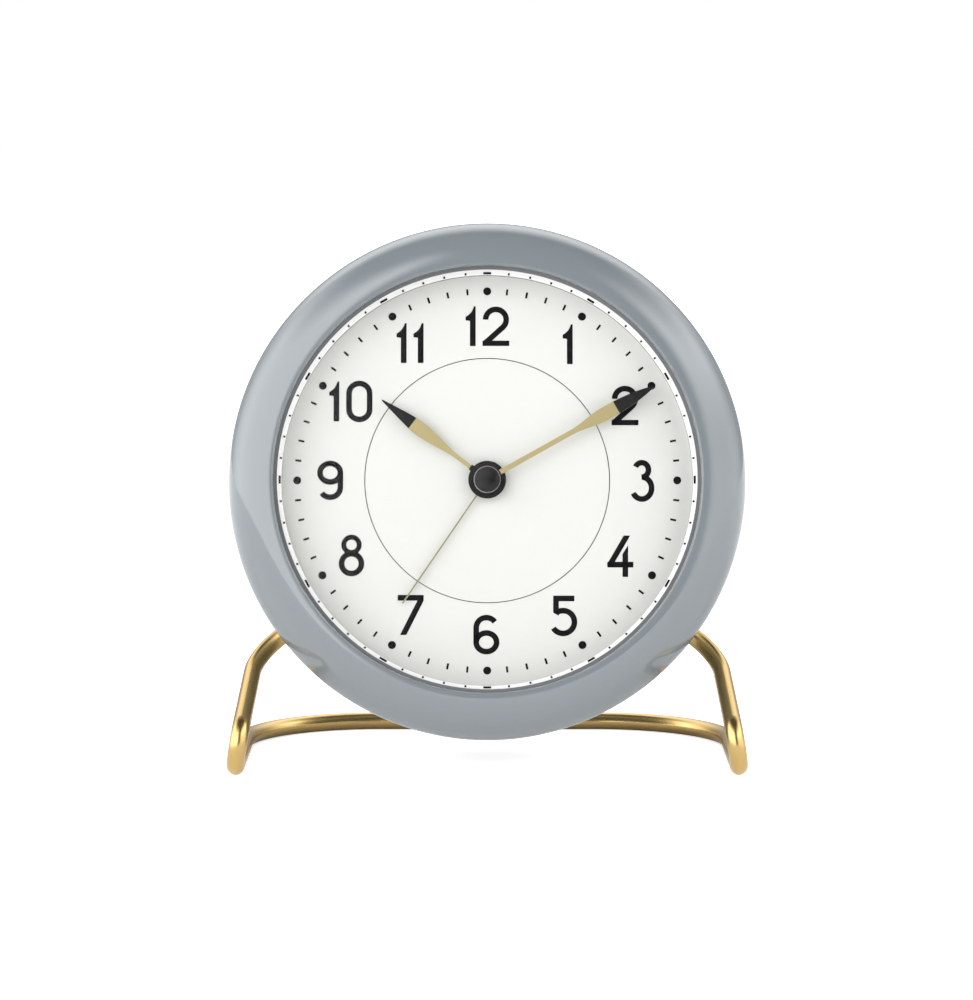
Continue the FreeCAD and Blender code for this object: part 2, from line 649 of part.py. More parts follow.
def rear_shell():
    """Bowl with the battery tub, screw columns, wire sockets and stem bearings moulded in."""
    rim = PARTING_Z + SPIGOT_LENGTH
    outside = shell_solid(rim)
    bowl = outside.cut(shell_hollow(rim))
    added = [cell_box(
        TUB_HALF_WIDTH + TUB_WALL, TUB_HALF_HEIGHT + TUB_WALL, BACK_Z, TUB_FLOOR_Z + TUB_WALL)]
    cuts = [cell_box(TUB_HALF_WIDTH, TUB_HALF_HEIGHT, BACK_Z, TUB_FLOOR_Z)]
    cuts.append(plate(
        door_width(), door_height(), DOOR_CORNER, BACK_Z, BACK_Z + DOOR_THICKNESS, door_place()))
    for angle in CASE_SCREW_ANGLES:
        place = polar(CASE_SCREW_CIRCLE, angle)
        added.append(cylinder(CASE_COLUMN_RADIUS, BACK_Z, CASE_BOSS_END_Z, place))
        cuts.append(cylinder(HEAD_SHARE * CASE_SCREW_RADIUS + FIT, BACK_Z, CASE_HEAD_Z, place))
        cuts.append(cylinder(CASE_SCREW_RADIUS + FIT, CASE_HEAD_Z, CASE_BOSS_END_Z, place))
    for direction in socket_directions():
        along = polar(1, direction)
        boss_start = socket_point(wire_end_distance() - SOCKET_WALL, direction)
        bore_start = socket_point(wire_end_distance(), direction)
        boss_radius = WIRE_RADIUS + SOCKET_WALL
        added.append(Part.makeCylinder(boss_radius, SOCKET_INSERT + SOCKET_WALL, boss_start, along))
        cuts.append(Part.makeCylinder(WIRE_RADIUS + SOCKET_PLAY, CASE_RADIUS, bore_start, along))
        grub = socket_point(shell_radius(SOCKET_DEPTH) - GRUB_INSET, direction)
        cuts.append(cylinder(GRUB_RADIUS, -SOCKET_DEPTH, boss_radius - SOCKET_DEPTH, grub))
    for place in (TIME_STEM, ALARM_STEM):
        added.append(cylinder(BEARING_RADIUS, BACK_Z, BACK_INSIDE_Z + BEARING_LENGTH, place))
        cuts.append(cylinder(STEM_RADIUS + STEM_PLAY, BACK_Z, BACK_INSIDE_Z + BEARING_LENGTH, place))
    for place in rear_boss_places():
        added.append(cylinder(REAR_BOSS_RADIUS, BACK_Z, REAR_BOARD_BACK_Z, place))
        cuts.append(cylinder(
            MOVEMENT_SCREW_RADIUS, REAR_BOARD_BACK_Z - MOVEMENT_SCREW_DEPTH, REAR_BOARD_BACK_Z, place))
    snooze_corner = SNOOZE_HEIGHT / 2 - FIT
    cuts.append(plate(
        SNOOZE_WIDTH, SNOOZE_HEIGHT, snooze_corner, BACK_Z, BACK_INSIDE_Z, Vector(0, SNOOZE_Y, 0)))
    slot = SLIDER_WIDTH + SLIDER_TRAVEL + 2 * CONTROL_PLAY
    slot_height = SLIDER_HEIGHT + 2 * CONTROL_PLAY
    cuts.append(plate(
        slot, slot_height, SLIDER_CORNER + CONTROL_PLAY, BACK_Z, BACK_INSIDE_Z, Vector(0, SLIDER_Y, 0)))
    for place in sound_hole_places():
        cuts.append(cylinder(SOUND_HOLE_RADIUS, BACK_Z, BACK_INSIDE_Z, place))
    inside = added[0].fuse(added[1:]).common(outside)
    return bowl.fuse(inside).cut(cuts)


def case_screws():
    length = CASE_COLUMN_FLOOR + CASE_SCREW_DEPTH - HEAD_ROOM
    screws = []
    for angle in CASE_SCREW_ANGLES:
        place = polar(CASE_SCREW_CIRCLE, angle)
        screws.append(screw(CASE_SCREW_RADIUS, length, CASE_HEAD_Z, False, place))
    return Part.makeCompound(screws)


def battery_door():
    """Cover pressed into its recess, held by two springy arms inside the tub."""
    width = door_width() - 2 * DOOR_PLAY
    height = door_height() - 2 * DOOR_PLAY
    panel = plate(width, height, DOOR_CORNER, BACK_Z, BACK_Z + DOOR_THICKNESS, door_place())
    arm_y = TUB_HALF_HEIGHT - DOOR_PLAY - DOOR_ARM_THICKNESS
    arms = []
    for low in (CELL_Y + arm_y, CELL_Y - arm_y - DOOR_ARM_THICKNESS):
        corner = Vector(-DOOR_ARM_WIDTH / 2, low, BACK_Z)
        arms.append(Part.makeBox(DOOR_ARM_WIDTH, DOOR_ARM_THICKNESS, DOOR_THICKNESS + DOOR_ARM, corner))
    grooves = []
    for rib in range(DOOR_RIBS):
        y = CELL_Y + arm_y - DOOR_RIB_PITCH * (rib + 0.5)
        corner = Vector(-DOOR_ARM_WIDTH / 2, y, BACK_Z)
        grooves.append(Part.makeBox(DOOR_ARM_WIDTH, DOOR_RIB_PITCH / 2, DOOR_RIB_DEPTH, corner))
    return joined(panel, arms).cut(grooves)


def battery_cell():
    can_start = Vector(-CELL_LENGTH / 2, CELL_Y, CELL_Z)
    can = Part.makeCylinder(CELL_RADIUS, CELL_LENGTH - CELL_NUB_LENGTH, can_start, Vector(1, 0, 0))
    nub_start = Vector(CELL_LENGTH / 2 - CELL_NUB_LENGTH, CELL_Y, CELL_Z)
    nub = Part.makeCylinder(CELL_NUB_RADIUS, CELL_NUB_LENGTH, nub_start, Vector(1, 0, 0))
    return joined(can, [nub])


def battery_contact(side):
    """Sheet metal contact: a plate on the tub's end wall, pressed out into a blunt cone."""
    outer = TUB_HALF_WIDTH
    inner = CELL_LENGTH / 2 + CONTACT_BOW
    half = TUB_HALF_HEIGHT - FIT
    corner = Vector(min(side * outer, side * (outer - CONTACT_THICKNESS)), CELL_Y - half, CELL_Z - half)
    sheet = Part.makeBox(CONTACT_THICKNESS, 2 * half, 2 * half, corner)
    foot = Vector(side * (outer - CONTACT_THICKNESS), CELL_Y, CELL_Z)
    height = outer - CONTACT_THICKNESS - inner
    cone = Part.makeCone(CONTACT_CONE, CELL_NUB_RADIUS, height, foot, Vector(-side, 0, 0))
    return joined(sheet, [cone])


def blade(shank_width, shank_end, blade_width, widest, length, tip_swell, low):
    """Flat blade along twelve o'clock: straight shank, leaf-shaped flare and full-sided tip."""
    shank = shank_width / 2
    half = blade_width / 2
    tip = TIP_WIDTH / 2
    handle = FLARE_HANDLE * (widest - shank_end)
    shoulder = widest + tip_swell * (length - widest)

    def side(sign):
        def at(aside, along):
            return Vector(sign * aside, along, low)

        return [
            line(at(shank, 0), at(shank, shank_end)),
            bezier(at(shank, shank_end), at(shank, shank_end + handle), at(half, widest - handle),
                   at(half, widest)),
            bezier(at(half, widest), at(half, shoulder), at(tip, length)),
        ]

    ends = [
        line(Vector(-tip, length, low), Vector(tip, length, low)),
        line(Vector(-shank, 0, low), Vector(shank, 0, low)),
    ]
    outline = Part.Wire(Part.__sortEdges__(side(1) + side(-1) + ends))
    return Part.Face(outline).extrude(Vector(0, 0, HAND_THICKNESS))


def strip(width, length, low):
    """Flat strip from the middle of the dial along twelve o'clock."""
    return Part.makeBox(width, length, HAND_THICKNESS, Vector(-width / 2, 0, low))


def hand(hub_radius, bore, pieces, low, angle):
    """Pieces of a hand on its hub, pierced for its pipe or arbor and turned clockwise from twelve."""
    high = low + HAND_THICKNESS
    hub = cylinder(hub_radius, low, high)
    whole = joined(hub, pieces).cut(cylinder(bore + SCREW_PLAY, low, high))
    whole.rotate(Vector(), Vector(0, 0, 1), -angle)
    return whole


def alarm_hand():
    """Thin straight pointer on the outermost pipe."""
    pointer = strip(ALARM_HAND_WIDTH, ALARM_HAND_LENGTH, ALARM_HAND_Z)
    return hand(ALARM_HUB_RADIUS, ALARM_PIPE_RADIUS, [pointer], ALARM_HAND_Z, ALARM_ANGLE)


def hour_hand():
    hour_blade = blade(
        HOUR_SHANK_WIDTH, HOUR_SHANK_END, HOUR_BLADE_WIDTH, HOUR_WIDEST, HOUR_HAND_LENGTH,
        HOUR_TIP_SWELL, HOUR_HAND_Z)
    tab = strip(HOUR_TAB_WIDTH, HOUR_TAB_REACH, HOUR_HAND_Z)
    return hand(HOUR_HUB_RADIUS, HOUR_PIPE_RADIUS, [hour_blade, tab], HOUR_HAND_Z, HOUR_ANGLE)


def minute_hand():
    minute_blade = blade(
        MINUTE_SHANK_WIDTH, MINUTE_SHANK_END, MINUTE_BLADE_WIDTH, MINUTE_WIDEST, MINUTE_HAND_LENGTH,
        MINUTE_TIP_SWELL, MINUTE_HAND_Z)
    return hand(MINUTE_HUB_RADIUS, ARBOR_RADIUS, [minute_blade], MINUTE_HAND_Z, MINUTE_ANGLE)


def hand_cap():
    """Low domed cap over the end of the minute arbor."""
    radius = MINUTE_HUB_RADIUS - CAP_INSET
    base = MINUTE_HAND_Z + HAND_THICKNESS
    edge = base + CAP_HEIGHT / 2
    top = base + CAP_HEIGHT
    return turned([
        line(rz(0, base), rz(radius, base)),
        line(rz(radius, base), rz(radius, edge)),
        quarter_ellipse(rz(radius, edge), rz(radius, top), rz(0, top)),
        line(rz(0, top), rz(0, base)),
    ])


def movement_housing():
    """Front half of the movement's box, with the bushing that the hands' pipes turn in."""
    width = MOVEMENT_WIDTH
    inner = width - 2 * MOVEMENT_WALL
    box = plate(width, width, MOVEMENT_CORNER, COVER_Z, CARRIER_BACK_Z)
    added = [cylinder(BUSHING_RADIUS, FLOOR_BACK_Z, BUSHING_PROUD)]
    holes = [cylinder(BUSHING_BORE, FLOOR_BACK_Z, BUSHING_PROUD)]
    hollow = plate(inner, inner, MOVEMENT_CORNER - MOVEMENT_WALL, COVER_Z, FLOOR_BACK_Z)
    for place in corner_places(PILLAR_PLACE, PILLAR_PLACE):
        added.append(cylinder(PILLAR_RADIUS, -BRIDGE_LAYER, FLOOR_BACK_Z, place))
    for place in ear_places():
        side = math.copysign(1, place.x)
        inside = side * (width - MOVEMENT_WALL) / 2
        corner = Vector(min(inside, place.x), place.y - EAR_RADIUS, POST_END_Z - EAR_THICKNESS)
        added.append(Part.makeBox(abs(place.x - inside), 2 * EAR_RADIUS, EAR_THICKNESS, corner))
        added.append(cylinder(EAR_RADIUS, POST_END_Z - EAR_THICKNESS, POST_END_Z, place))
        holes.append(cylinder(
            MOVEMENT_SCREW_RADIUS + FIT, POST_END_Z - EAR_THICKNESS, POST_END_Z, place))
    for place in (TIME_STEM, ALARM_STEM):
        holes.append(cylinder(
            SET_PIVOT_RADIUS + PIVOT_PLAY, FLOOR_BACK_Z, FLOOR_BACK_Z + SET_PIVOT_LENGTH, place))
    return box.cut(hollow).fuse(added).cut(holes)


def movement_screws():
    length = EAR_THICKNESS + MOVEMENT_SCREW_DEPTH - HEAD_ROOM
    seat = POST_END_Z - EAR_THICKNESS
    screws = [screw(MOVEMENT_SCREW_RADIUS, length, seat, False, place) for place in ear_places()]
    return Part.makeCompound(screws)


def train_pivots():
    return (THIRD_PLACE, SECOND_PLACE, ROTOR_PLACE)


def movement_bridge():
    """Middle plate: carries the stud of the motion wheel and the front pivots of the train."""
    width = MOVEMENT_WIDTH - 2 * MOVEMENT_WALL - 2 * BRIDGE_PLAY
    sheet = plate(width, width, MOVEMENT_CORNER - MOVEMENT_WALL, BRIDGE_BACK_Z, -BRIDGE_LAYER)
    stud = cylinder(
        SET_PIVOT_RADIUS, -BRIDGE_LAYER, -HOUR_LAYER - PINION_EXTRA, MOTION_PLACE)
    leaf_post = cylinder(LEAF_WIDTH / 2, -BRIDGE_LAYER, leaf_back_z(), leaf_foot())
    holes = [cylinder(ARBOR_RADIUS + 2 * PIPE_PLAY, BRIDGE_BACK_Z, -BRIDGE_LAYER)]
    for place in train_pivots():
        holes.append(cylinder(PIVOT_RADIUS + PIVOT_PLAY, BRIDGE_BACK_Z, -BRIDGE_LAYER, place))
    for place in (TIME_STEM, ALARM_STEM):
        holes.append(cylinder(SET_ARBOR_RADIUS + STEM_PLAY, BRIDGE_BACK_Z, -BRIDGE_LAYER, place))
    return sheet.fuse([stud, leaf_post]).cut(holes)


def movement_cover():
    """Back of the movement's box, with the rear pivots, clamping pillars and stator seats."""
    width = MOVEMENT_WIDTH
    lid = plate(width, width, MOVEMENT_CORNER, COVER_BACK_Z, COVER_Z)
    added = []
    holes = [cylinder(PIVOT_RADIUS + PIVOT_PLAY, COVER_Z - COVER_THICKNESS / 2, COVER_Z)]
    for place in corner_places(PILLAR_PLACE, PILLAR_PLACE):
        added.append(cylinder(PILLAR_RADIUS, COVER_Z, BRIDGE_BACK_Z, place))
    for place in stator_seats():
        added.append(cylinder(SET_ARBOR_RADIUS, COVER_Z, stator_front_z() - STATOR_THICKNESS, place))
    for place in train_pivots():
        holes.append(cylinder(
            PIVOT_RADIUS + PIVOT_PLAY, COVER_Z - COVER_THICKNESS / 2, COVER_Z, place))
    for place in (TIME_STEM, ALARM_STEM):
        holes.append(cylinder(SET_ARBOR_RADIUS + STEM_PLAY, COVER_BACK_Z, COVER_Z, place))
    return lid.fuse(added).cut(holes)


def piped_wheel(teeth, module, layer, radius, bore, front, phase):
    """Wheel with the pipe that carries its hand through the dial."""
    wheel = gear(teeth, module, layer, WHEEL_THICKNESS, Vector(), phase)
    back = -layer - WHEEL_THICKNESS
    return wheel.fuse(cylinder(radius, back, front)).cut(cylinder(bore, back, front))


def train_arbor(radius, place):
    """Steel arbor between the bridge and the cover, stepped down to a pivot at each end."""
    body = cylinder(radius, COVER_Z + PIVOT_PLAY, BRIDGE_BACK_Z - PIVOT_PLAY, place)
    pivot_low = COVER_Z - COVER_THICKNESS / 2 + PIVOT_PLAY
    pivot = cylinder(PIVOT_RADIUS, pivot_low, -BRIDGE_LAYER - PIVOT_PLAY, place)
    return body.fuse(pivot)


def longer_pinion(teeth, module, layer, thickness, place, phase):
    return gear(teeth, module, layer - PINION_EXTRA, thickness + 2 * PINION_EXTRA, place, phase)


def pinion_arbor_radius(module):
    return (PINION_TEETH / 2 - DEDENDUM) * module * PINION_CORE


def minute_arbor():
    """Arbor of the minute hand, with the cannon pinion and the collar of the slipping clutch."""
    shaft = cylinder(ARBOR_RADIUS, COVER_Z + PIVOT_PLAY, MINUTE_HAND_Z + HAND_THICKNESS)
    pivot = cylinder(PIVOT_RADIUS, COVER_Z - COVER_THICKNESS / 2 + PIVOT_PLAY, COVER_Z + PIVOT_PLAY)
    collar = cylinder(COLLAR_RADIUS, -CENTRE_LAYER + PIPE_PLAY, BRIDGE_BACK_Z - PIPE_PLAY)
    pinion = longer_pinion(
        CANNON_TEETH, MOTION_MODULE, MOTION_LAYER, WHEEL_THICKNESS, Vector(), CANNON_PHASE)
    return shaft.fuse([pivot, collar, pinion])


def clutch_spring():
    """Thin washer that presses the centre wheel against the collar of the minute arbor."""
    high = -CENTRE_LAYER - TRAIN_THICKNESS - PIPE_PLAY
    return tube(CLUTCH_RADIUS, ARBOR_RADIUS + SCREW_PLAY, high - LEAF_THICKNESS, high)


def centre_wheel():
    wheel = gear(CENTRE_TEETH, CENTRE_MODULE, CENTRE_LAYER, TRAIN_THICKNESS, Vector(), CENTRE_PHASE)
    low = -CENTRE_LAYER - TRAIN_THICKNESS
    return wheel.cut(cylinder(ARBOR_RADIUS + PIPE_PLAY, low, -CENTRE_LAYER))


def motion_wheel():
    """Wheel and pinion that carry the minute arbor's turning down to the hour pipe."""
    wheel = gear(
        MOTION_TEETH, MOTION_MODULE, MOTION_LAYER, WHEEL_THICKNESS, MOTION_PLACE, MOTION_PHASE)
    pinion_length = MOTION_LAYER - HOUR_LAYER + PINION_EXTRA
    pinion = gear(
        MOTION_PINION_TEETH, HOUR_MODULE, HOUR_LAYER - PINION_EXTRA, pinion_length, MOTION_PLACE,
        MOTION_PINION_PHASE)
    bore = cylinder(
        SET_PIVOT_RADIUS + PIPE_PLAY, -MOTION_LAYER - WHEEL_THICKNESS, PINION_EXTRA - HOUR_LAYER,
        MOTION_PLACE)
    return wheel.fuse(pinion).cut(bore)


def third_wheel():
    wheel = gear(THIRD_TEETH, TRAIN_MODULE, THIRD_LAYER, TRAIN_THICKNESS, THIRD_PLACE, THIRD_PHASE)
    pinion = longer_pinion(
        PINION_TEETH, CENTRE_MODULE, CENTRE_LAYER, TRAIN_THICKNESS, THIRD_PLACE, THIRD_PINION_PHASE)
    arbor = train_arbor(pinion_arbor_radius(CENTRE_MODULE), THIRD_PLACE)
    return wheel.fuse([pinion, arbor])


def second_wheel():
    wheel = gear(
        SECOND_TEETH, TRAIN_MODULE, SECOND_LAYER, TRAIN_THICKNESS, SECOND_PLACE, SECOND_PHASE)
    pinion = longer_pinion(
        PINION_TEETH, TRAIN_MODULE, THIRD_LAYER, TRAIN_THICKNESS, SECOND_PLACE, SECOND_PINION_PHASE)
    arbor = train_arbor(pinion_arbor_radius(TRAIN_MODULE), SECOND_PLACE)
    return wheel.fuse([pinion, arbor])


def rotor():
    """Magnet disc of the stepping motor, with its pinion."""
    pinion = longer_pinion(
        PINION_TEETH, TRAIN_MODULE, SECOND_LAYER, TRAIN_THICKNESS, ROTOR_PLACE, ROTOR_PHASE)
    middle = stator_front_z() - STATOR_THICKNESS / 2
    magnet = cylinder(
        ROTOR_RADIUS, middle - ROTOR_HEIGHT / 2, middle + ROTOR_HEIGHT / 2, ROTOR_PLACE)
    arbor = train_arbor(pinion_arbor_radius(TRAIN_MODULE), ROTOR_PLACE)
    return magnet.fuse([pinion, arbor])


def setting_arbor(teeth, module, layer, place, phase):
    """Pinion, arbor and stem in one: it runs from the movement out through the back of the case."""
    pinion = longer_pinion(teeth, module, layer, WHEEL_THICKNESS, place, phase)
    front = PINION_EXTRA - layer
    arbor = cylinder(SET_ARBOR_RADIUS, STEM_START_Z, FLOOR_BACK_Z - PINION_EXTRA, place)
    pivot_tip = FLOOR_BACK_Z + SET_PIVOT_LENGTH - PIVOT_PLAY
    pivot = cylinder(SET_PIVOT_RADIUS, front - WHEEL_THICKNESS, pivot_tip, place)
    stem = cylinder(STEM_RADIUS, STEM_END_Z, STEM_START_Z, place)
    return pinion.fuse([arbor, pivot, stem])


def time_set_arbor():
    return setting_arbor(SET_TEETH, MOTION_MODULE, MOTION_LAYER, TIME_STEM, SET_PHASE)


def alarm_set_arbor():
    return setting_arbor(ALARM_SET_TEETH, ALARM_MODULE, ALARM_LAYER, ALARM_STEM, ALARM_SET_PHASE)


def knob(place):
    """Fluted setting knob with a dished face, pressed on the end of its stem."""
    low = KNOB_Z - KNOB_HEIGHT
    body = cylinder(KNOB_RADIUS, low, KNOB_Z, place)
    cuts = [cylinder(STEM_RADIUS + SCREW_PLAY, STEM_END_Z, KNOB_Z, place)]
    cuts.append(cylinder(KNOB_RADIUS - 2 * FLUTE_RADIUS, low, low + KNOB_DISH, place))
    for flute in range(KNOB_FLUTES):
        groove = polar(KNOB_RADIUS, 360.0 * flute / KNOB_FLUTES, place)
        cuts.append(cylinder(FLUTE_RADIUS, low, KNOB_Z, groove))
    return body.cut(cuts)


def stator_front_z():
    return -SECOND_LAYER - TRAIN_THICKNESS - PINION_EXTRA - ROTOR_HEIGHT / 2 + STATOR_THICKNESS / 2 - FIT


def stator_seats():
    low, high = STATOR_ENDS
    inset = STATOR_ARM / 2
    far = STATOR_REACH - inset
    return (
        Vector(STATOR_BAR[0] + inset, high - inset, 0),
        Vector(far, high - inset, 0),
        Vector(far, low + inset, 0),
    )


def stator():
    """Flat iron yoke: a bar round the rotor and two arms to the ends of the coil's core."""
    low, high = STATOR_ENDS
    front = stator_front_z()
    back = front - STATOR_THICKNESS
    start, end = STATOR_BAR
    whole = Part.makeBox(STATOR_REACH - start, high - low, STATOR_THICKNESS, Vector(start, low, back))
    window_height = high - low - 2 * STATOR_ARM
    window = Part.makeBox(
        STATOR_REACH - end, window_height, STATOR_THICKNESS, Vector(end, low + STATOR_ARM, back))
    bore = cylinder(ROTOR_RADIUS + ROTOR_BORE_PLAY, back, front, ROTOR_PLACE)
    return whole.cut([window, bore])


def coil_axis_z():
    return stator_front_z() + CORE_THICKNESS / 2


def core_box(extra, low, high):
    """Bar of the coil's core, thicker by the extra, between two ends in Y."""
    width = CORE_WIDTH + 2 * extra
    thickness = CORE_THICKNESS + 2 * extra
    corner = Vector(COIL_X - width / 2, low, coil_axis_z() - thickness / 2)
    return Part.makeBox(width, high - low, thickness, corner)


def coil_core():
    low, high = STATOR_ENDS
    return core_box(0, low + FIT, high - FIT)


def coil():
    """Winding between two flanges, round the core."""
    low = STATOR_ENDS[0] + STATOR_ARM + FIT
    high = STATOR_ENDS[1] - STATOR_ARM - FIT
    along = Vector(0, 1, 0)

    def drum(radius, start, length):
        return Part.makeCylinder(radius, length, Vector(COIL_X, start, coil_axis_z()), along)

    flanges = [drum(COIL_RADIUS, low, FLANGE_THICKNESS)]
    flanges.append(drum(COIL_RADIUS, high - FLANGE_THICKNESS, FLANGE_THICKNESS))
    return drum(WINDING_RADIUS, low, high - low).fuse(flanges).cut(core_box(PIPE_PLAY, low, high))


def board_back_z():
    return BRIDGE_BACK_Z - BOARD_THICKNESS


def circuit_board():
    x, y, width, height = BOARD_BOX
    return Part.makeBox(width, height, BOARD_THICKNESS, Vector(x, y, board_back_z()))


def quartz_crystal():
    """Small can lying on the board."""
    x, y, width, height = BOARD_BOX
    start = Vector(x + CRYSTAL_INSET, y + height / 2, board_back_z() - CRYSTAL_RADIUS)
    return Part.makeCylinder(CRYSTAL_RADIUS, CRYSTAL_LENGTH, start, Vector(1, 0, 0))


def control_chip():
    x, y, width, height = BOARD_BOX
    place = Vector(x + width - CHIP_INSET, y + height / 2, 0)
    return plate(
        CHIP_SIZE, CHIP_SIZE, FIT, board_back_z() - CHIP_HEIGHT, board_back_z(), place)


def leaf_back_z():
    return -HOUR_LAYER - WHEEL_THICKNESS - LEAF_GAP - LEAF_THICKNESS


def leaf_foot():
    return Vector(LEAF_TIP_X - LEAF_LENGTH + LEAF_WIDTH / 2, 0, 0)


def alarm_leaf():
    """Contact spring behind the hour wheel, which closes the alarm's circuit."""
    corner = Vector(LEAF_TIP_X - LEAF_LENGTH, -LEAF_WIDTH / 2, leaf_back_z())
    return Part.makeBox(LEAF_LENGTH, LEAF_WIDTH, LEAF_THICKNESS, corner)


def rear_boss_places():
    return [Vector(REAR_BOSS_X, REAR_BOARD_Y, 0), Vector(-REAR_BOSS_X, REAR_BOARD_Y, 0)]


def rear_board():
    low = REAR_BOARD_BACK_Z
    high = low + REAR_BOARD_THICKNESS
    holes = [cylinder(MOVEMENT_SCREW_RADIUS + FIT, low, high, place) for place in rear_boss_places()]
    middle = Vector(0, REAR_BOARD_Y, 0)
    board = plate(REAR_BOARD_WIDTH, REAR_BOARD_HEIGHT, REAR_BOARD_CORNER, low, high, middle)
    return board.cut(holes)


def rear_board_screws():
    seat = REAR_BOARD_BACK_Z + REAR_BOARD_THICKNESS
    length = REAR_BOARD_THICKNESS + MOVEMENT_SCREW_DEPTH - HEAD_ROOM
    screws = [screw(MOVEMENT_SCREW_RADIUS, length, seat, True, place) for place in rear_boss_places()]
    return Part.makeCompound(screws)


def control_flange_z():
    return BACK_INSIDE_Z + FIT


def snooze_post_z():
    """Inner end of the snooze button: it stops just short of the plunger when pressed home."""
    return plunger_z() - PLUNGER_GAP - SNOOZE_TRAVEL


def plunger_z():
    return REAR_BOARD_BACK_Z - SWITCH_HEIGHT


def snooze_button():
    """Bar button with an inner flange, which keeps it from falling out of the back."""
    place = Vector(0, SNOOZE_Y, 0)
    width = SNOOZE_WIDTH - 2 * CONTROL_PLAY
    height = SNOOZE_HEIGHT - 2 * CONTROL_PLAY
    flange_low = control_flange_z()
    flange_high = flange_low + CONTROL_FLANGE
    cap = plate(width, height, height / 2 - FIT, BACK_Z - CONTROL_PROUD, flange_high, place)
    flange = plate(
        width + 2 * FLANGE_EDGE, height + 2 * FLANGE_EDGE, height / 2, flange_low, flange_high, place)
    post = cylinder(PLUNGER_RADIUS, flange_low, snooze_post_z(), place)
    return cap.fuse([flange, post])


def snooze_switch():
    """Push switch under the snooze button."""
    place = Vector(0, SNOOZE_Y, 0)
    low = plunger_z() + PLUNGER_HEIGHT
    body = plate(SWITCH_SIZE, SWITCH_SIZE, FIT, low, REAR_BOARD_BACK_Z, place)
    return body.fuse(cylinder(PLUNGER_RADIUS, plunger_z(), low, place))


def slider_place():
    """The slider rests at its off end."""
    return Vector(-SLIDER_TRAVEL / 2, SLIDER_Y, 0)


def alarm_switch():
    """Sliding alarm switch, with an inner flange that covers its slot."""
    place = slider_place()
    flange_low = control_flange_z()
    flange_high = flange_low + CONTROL_FLANGE
    nub = plate(
        SLIDER_WIDTH, SLIDER_HEIGHT, SLIDER_CORNER, BACK_Z - CONTROL_PROUD, flange_high, place)
    flange_width = SLIDER_WIDTH + 2 * SLIDER_TRAVEL + 2 * CONTROL_PLAY
    flange = plate(flange_width, SLIDER_HEIGHT + 2 * FLANGE_EDGE, FIT, flange_low, flange_high, place)
    finger = plate(
        SLIDER_WIDTH / 2, SLIDER_HEIGHT / 2, FIT, flange_low,
        REAR_BOARD_BACK_Z - SWITCH_HEIGHT - CONTROL_PLAY, place)
    return nub.fuse([flange, finger])


def switch_body():
    """Slide switch on the rear board, moved by the slider's finger."""
    place = Vector(0, SLIDER_Y, 0)
    return plate(
        SWITCH_LENGTH, SWITCH_SIZE, FIT, REAR_BOARD_BACK_Z - SWITCH_HEIGHT, REAR_BOARD_BACK_Z, place)


def sounder():
    """Round buzzer against the inside of the back, over the sound holes."""
    place = Vector(SOUNDER_X, SOUNDER_Y, 0)
    high = BACK_INSIDE_Z + SOUNDER_HEIGHT
    can = cylinder(SOUNDER_RADIUS, BACK_INSIDE_Z, high, place)
    throat = cylinder(
        SOUND_HOLE_CIRCLE + SOUND_HOLE_RADIUS, BACK_INSIDE_Z, BACK_INSIDE_Z + SOUNDER_HEIGHT / 2, place)
    return can.cut(throat)


def rounded_path(corners, bends):
    """Straight runs between corner points, with a tangent arc at each corner but the ends."""
    edges = []
    start = corners[0]
    for before, corner, after, bend in zip(corners, corners[1:], corners[2:], bends):
        back = (before - corner).normalize()
        onward = (after - corner).normalize()
        half = back.getAngle(onward) / 2
        reach = bend / math.tan(half)
        inward = (back + onward).normalize()
        arc_start = corner + back * reach
        arc_end = corner + onward * reach
        arc_middle = corner + inward * (bend / math.sin(half) - bend)
        edges.append(line(start, arc_start))
        edges.append(Part.Arc(arc_start, arc_middle, arc_end).toShape())
        start = arc_end
    edges.append(line(start, corners[-1]))
    return Part.Wire(edges)


def foot_corner(shoulder):
    """Corner of leg and base whose bend just reaches the front of the stand.

    Worked out in the plane of the base's side and the leg: u runs along +Y, w from the base's
    line up to the shoulder. The leg is the tangent from the shoulder over the front of the bend.
    """
    front = WIRE_RADIUS - STAND_DEPTH / 2
    w = math.hypot(shoulder.x - FOOT_HALF_SPACING, shoulder.z - WIRE_RADIUS)
    du = front + FOOT_BEND - shoulder.y
    dw = FOOT_BEND - w
    direction = math.atan2(dw, du) - math.asin(FOOT_BEND / math.hypot(du, dw))
    u = shoulder.y - w / math.tan(direction)
    return Vector(FOOT_HALF_SPACING, u, WIRE_RADIUS)


def mirrored(point):
    return Vector(-point.x, point.y, point.z)


def stand():
    """One round wire: into the shell, over the shoulder, down the leg, round the foot and the base."""
    end = HEAD.multVec(socket_point(wire_end_distance(), SOCKET_ANGLE))
    shoulder = HEAD.multVec(socket_point(SHOULDER_REACH, SOCKET_ANGLE))
    foot = foot_corner(shoulder)
    rear = Vector(FOOT_HALF_SPACING, STAND_DEPTH / 2 - WIRE_RADIUS, WIRE_RADIUS)
    right = [end, shoulder, foot, rear]
    left = [mirrored(point) for point in reversed(right)]
    bends = [SHOULDER_BEND, FOOT_BEND, BASE_CORNER]
    path = rounded_path(right + left, bends + bends[::-1])
    section = Part.Wire(Part.makeCircle(WIRE_RADIUS, end, shoulder - end))
    return path.makePipeShell([section], True, False)


def stand_screws():
    """Set screws that pinch the wire in its sockets."""
    screws = []
    for direction in socket_directions():
        place = socket_point(shell_radius(SOCKET_DEPTH) - GRUB_INSET, direction)
        low = WIRE_RADIUS - SOCKET_DEPTH
        screws.append(cylinder(GRUB_RADIUS - SCREW_PLAY, low, low + SOCKET_WALL, place))
    return Part.makeCompound(screws)


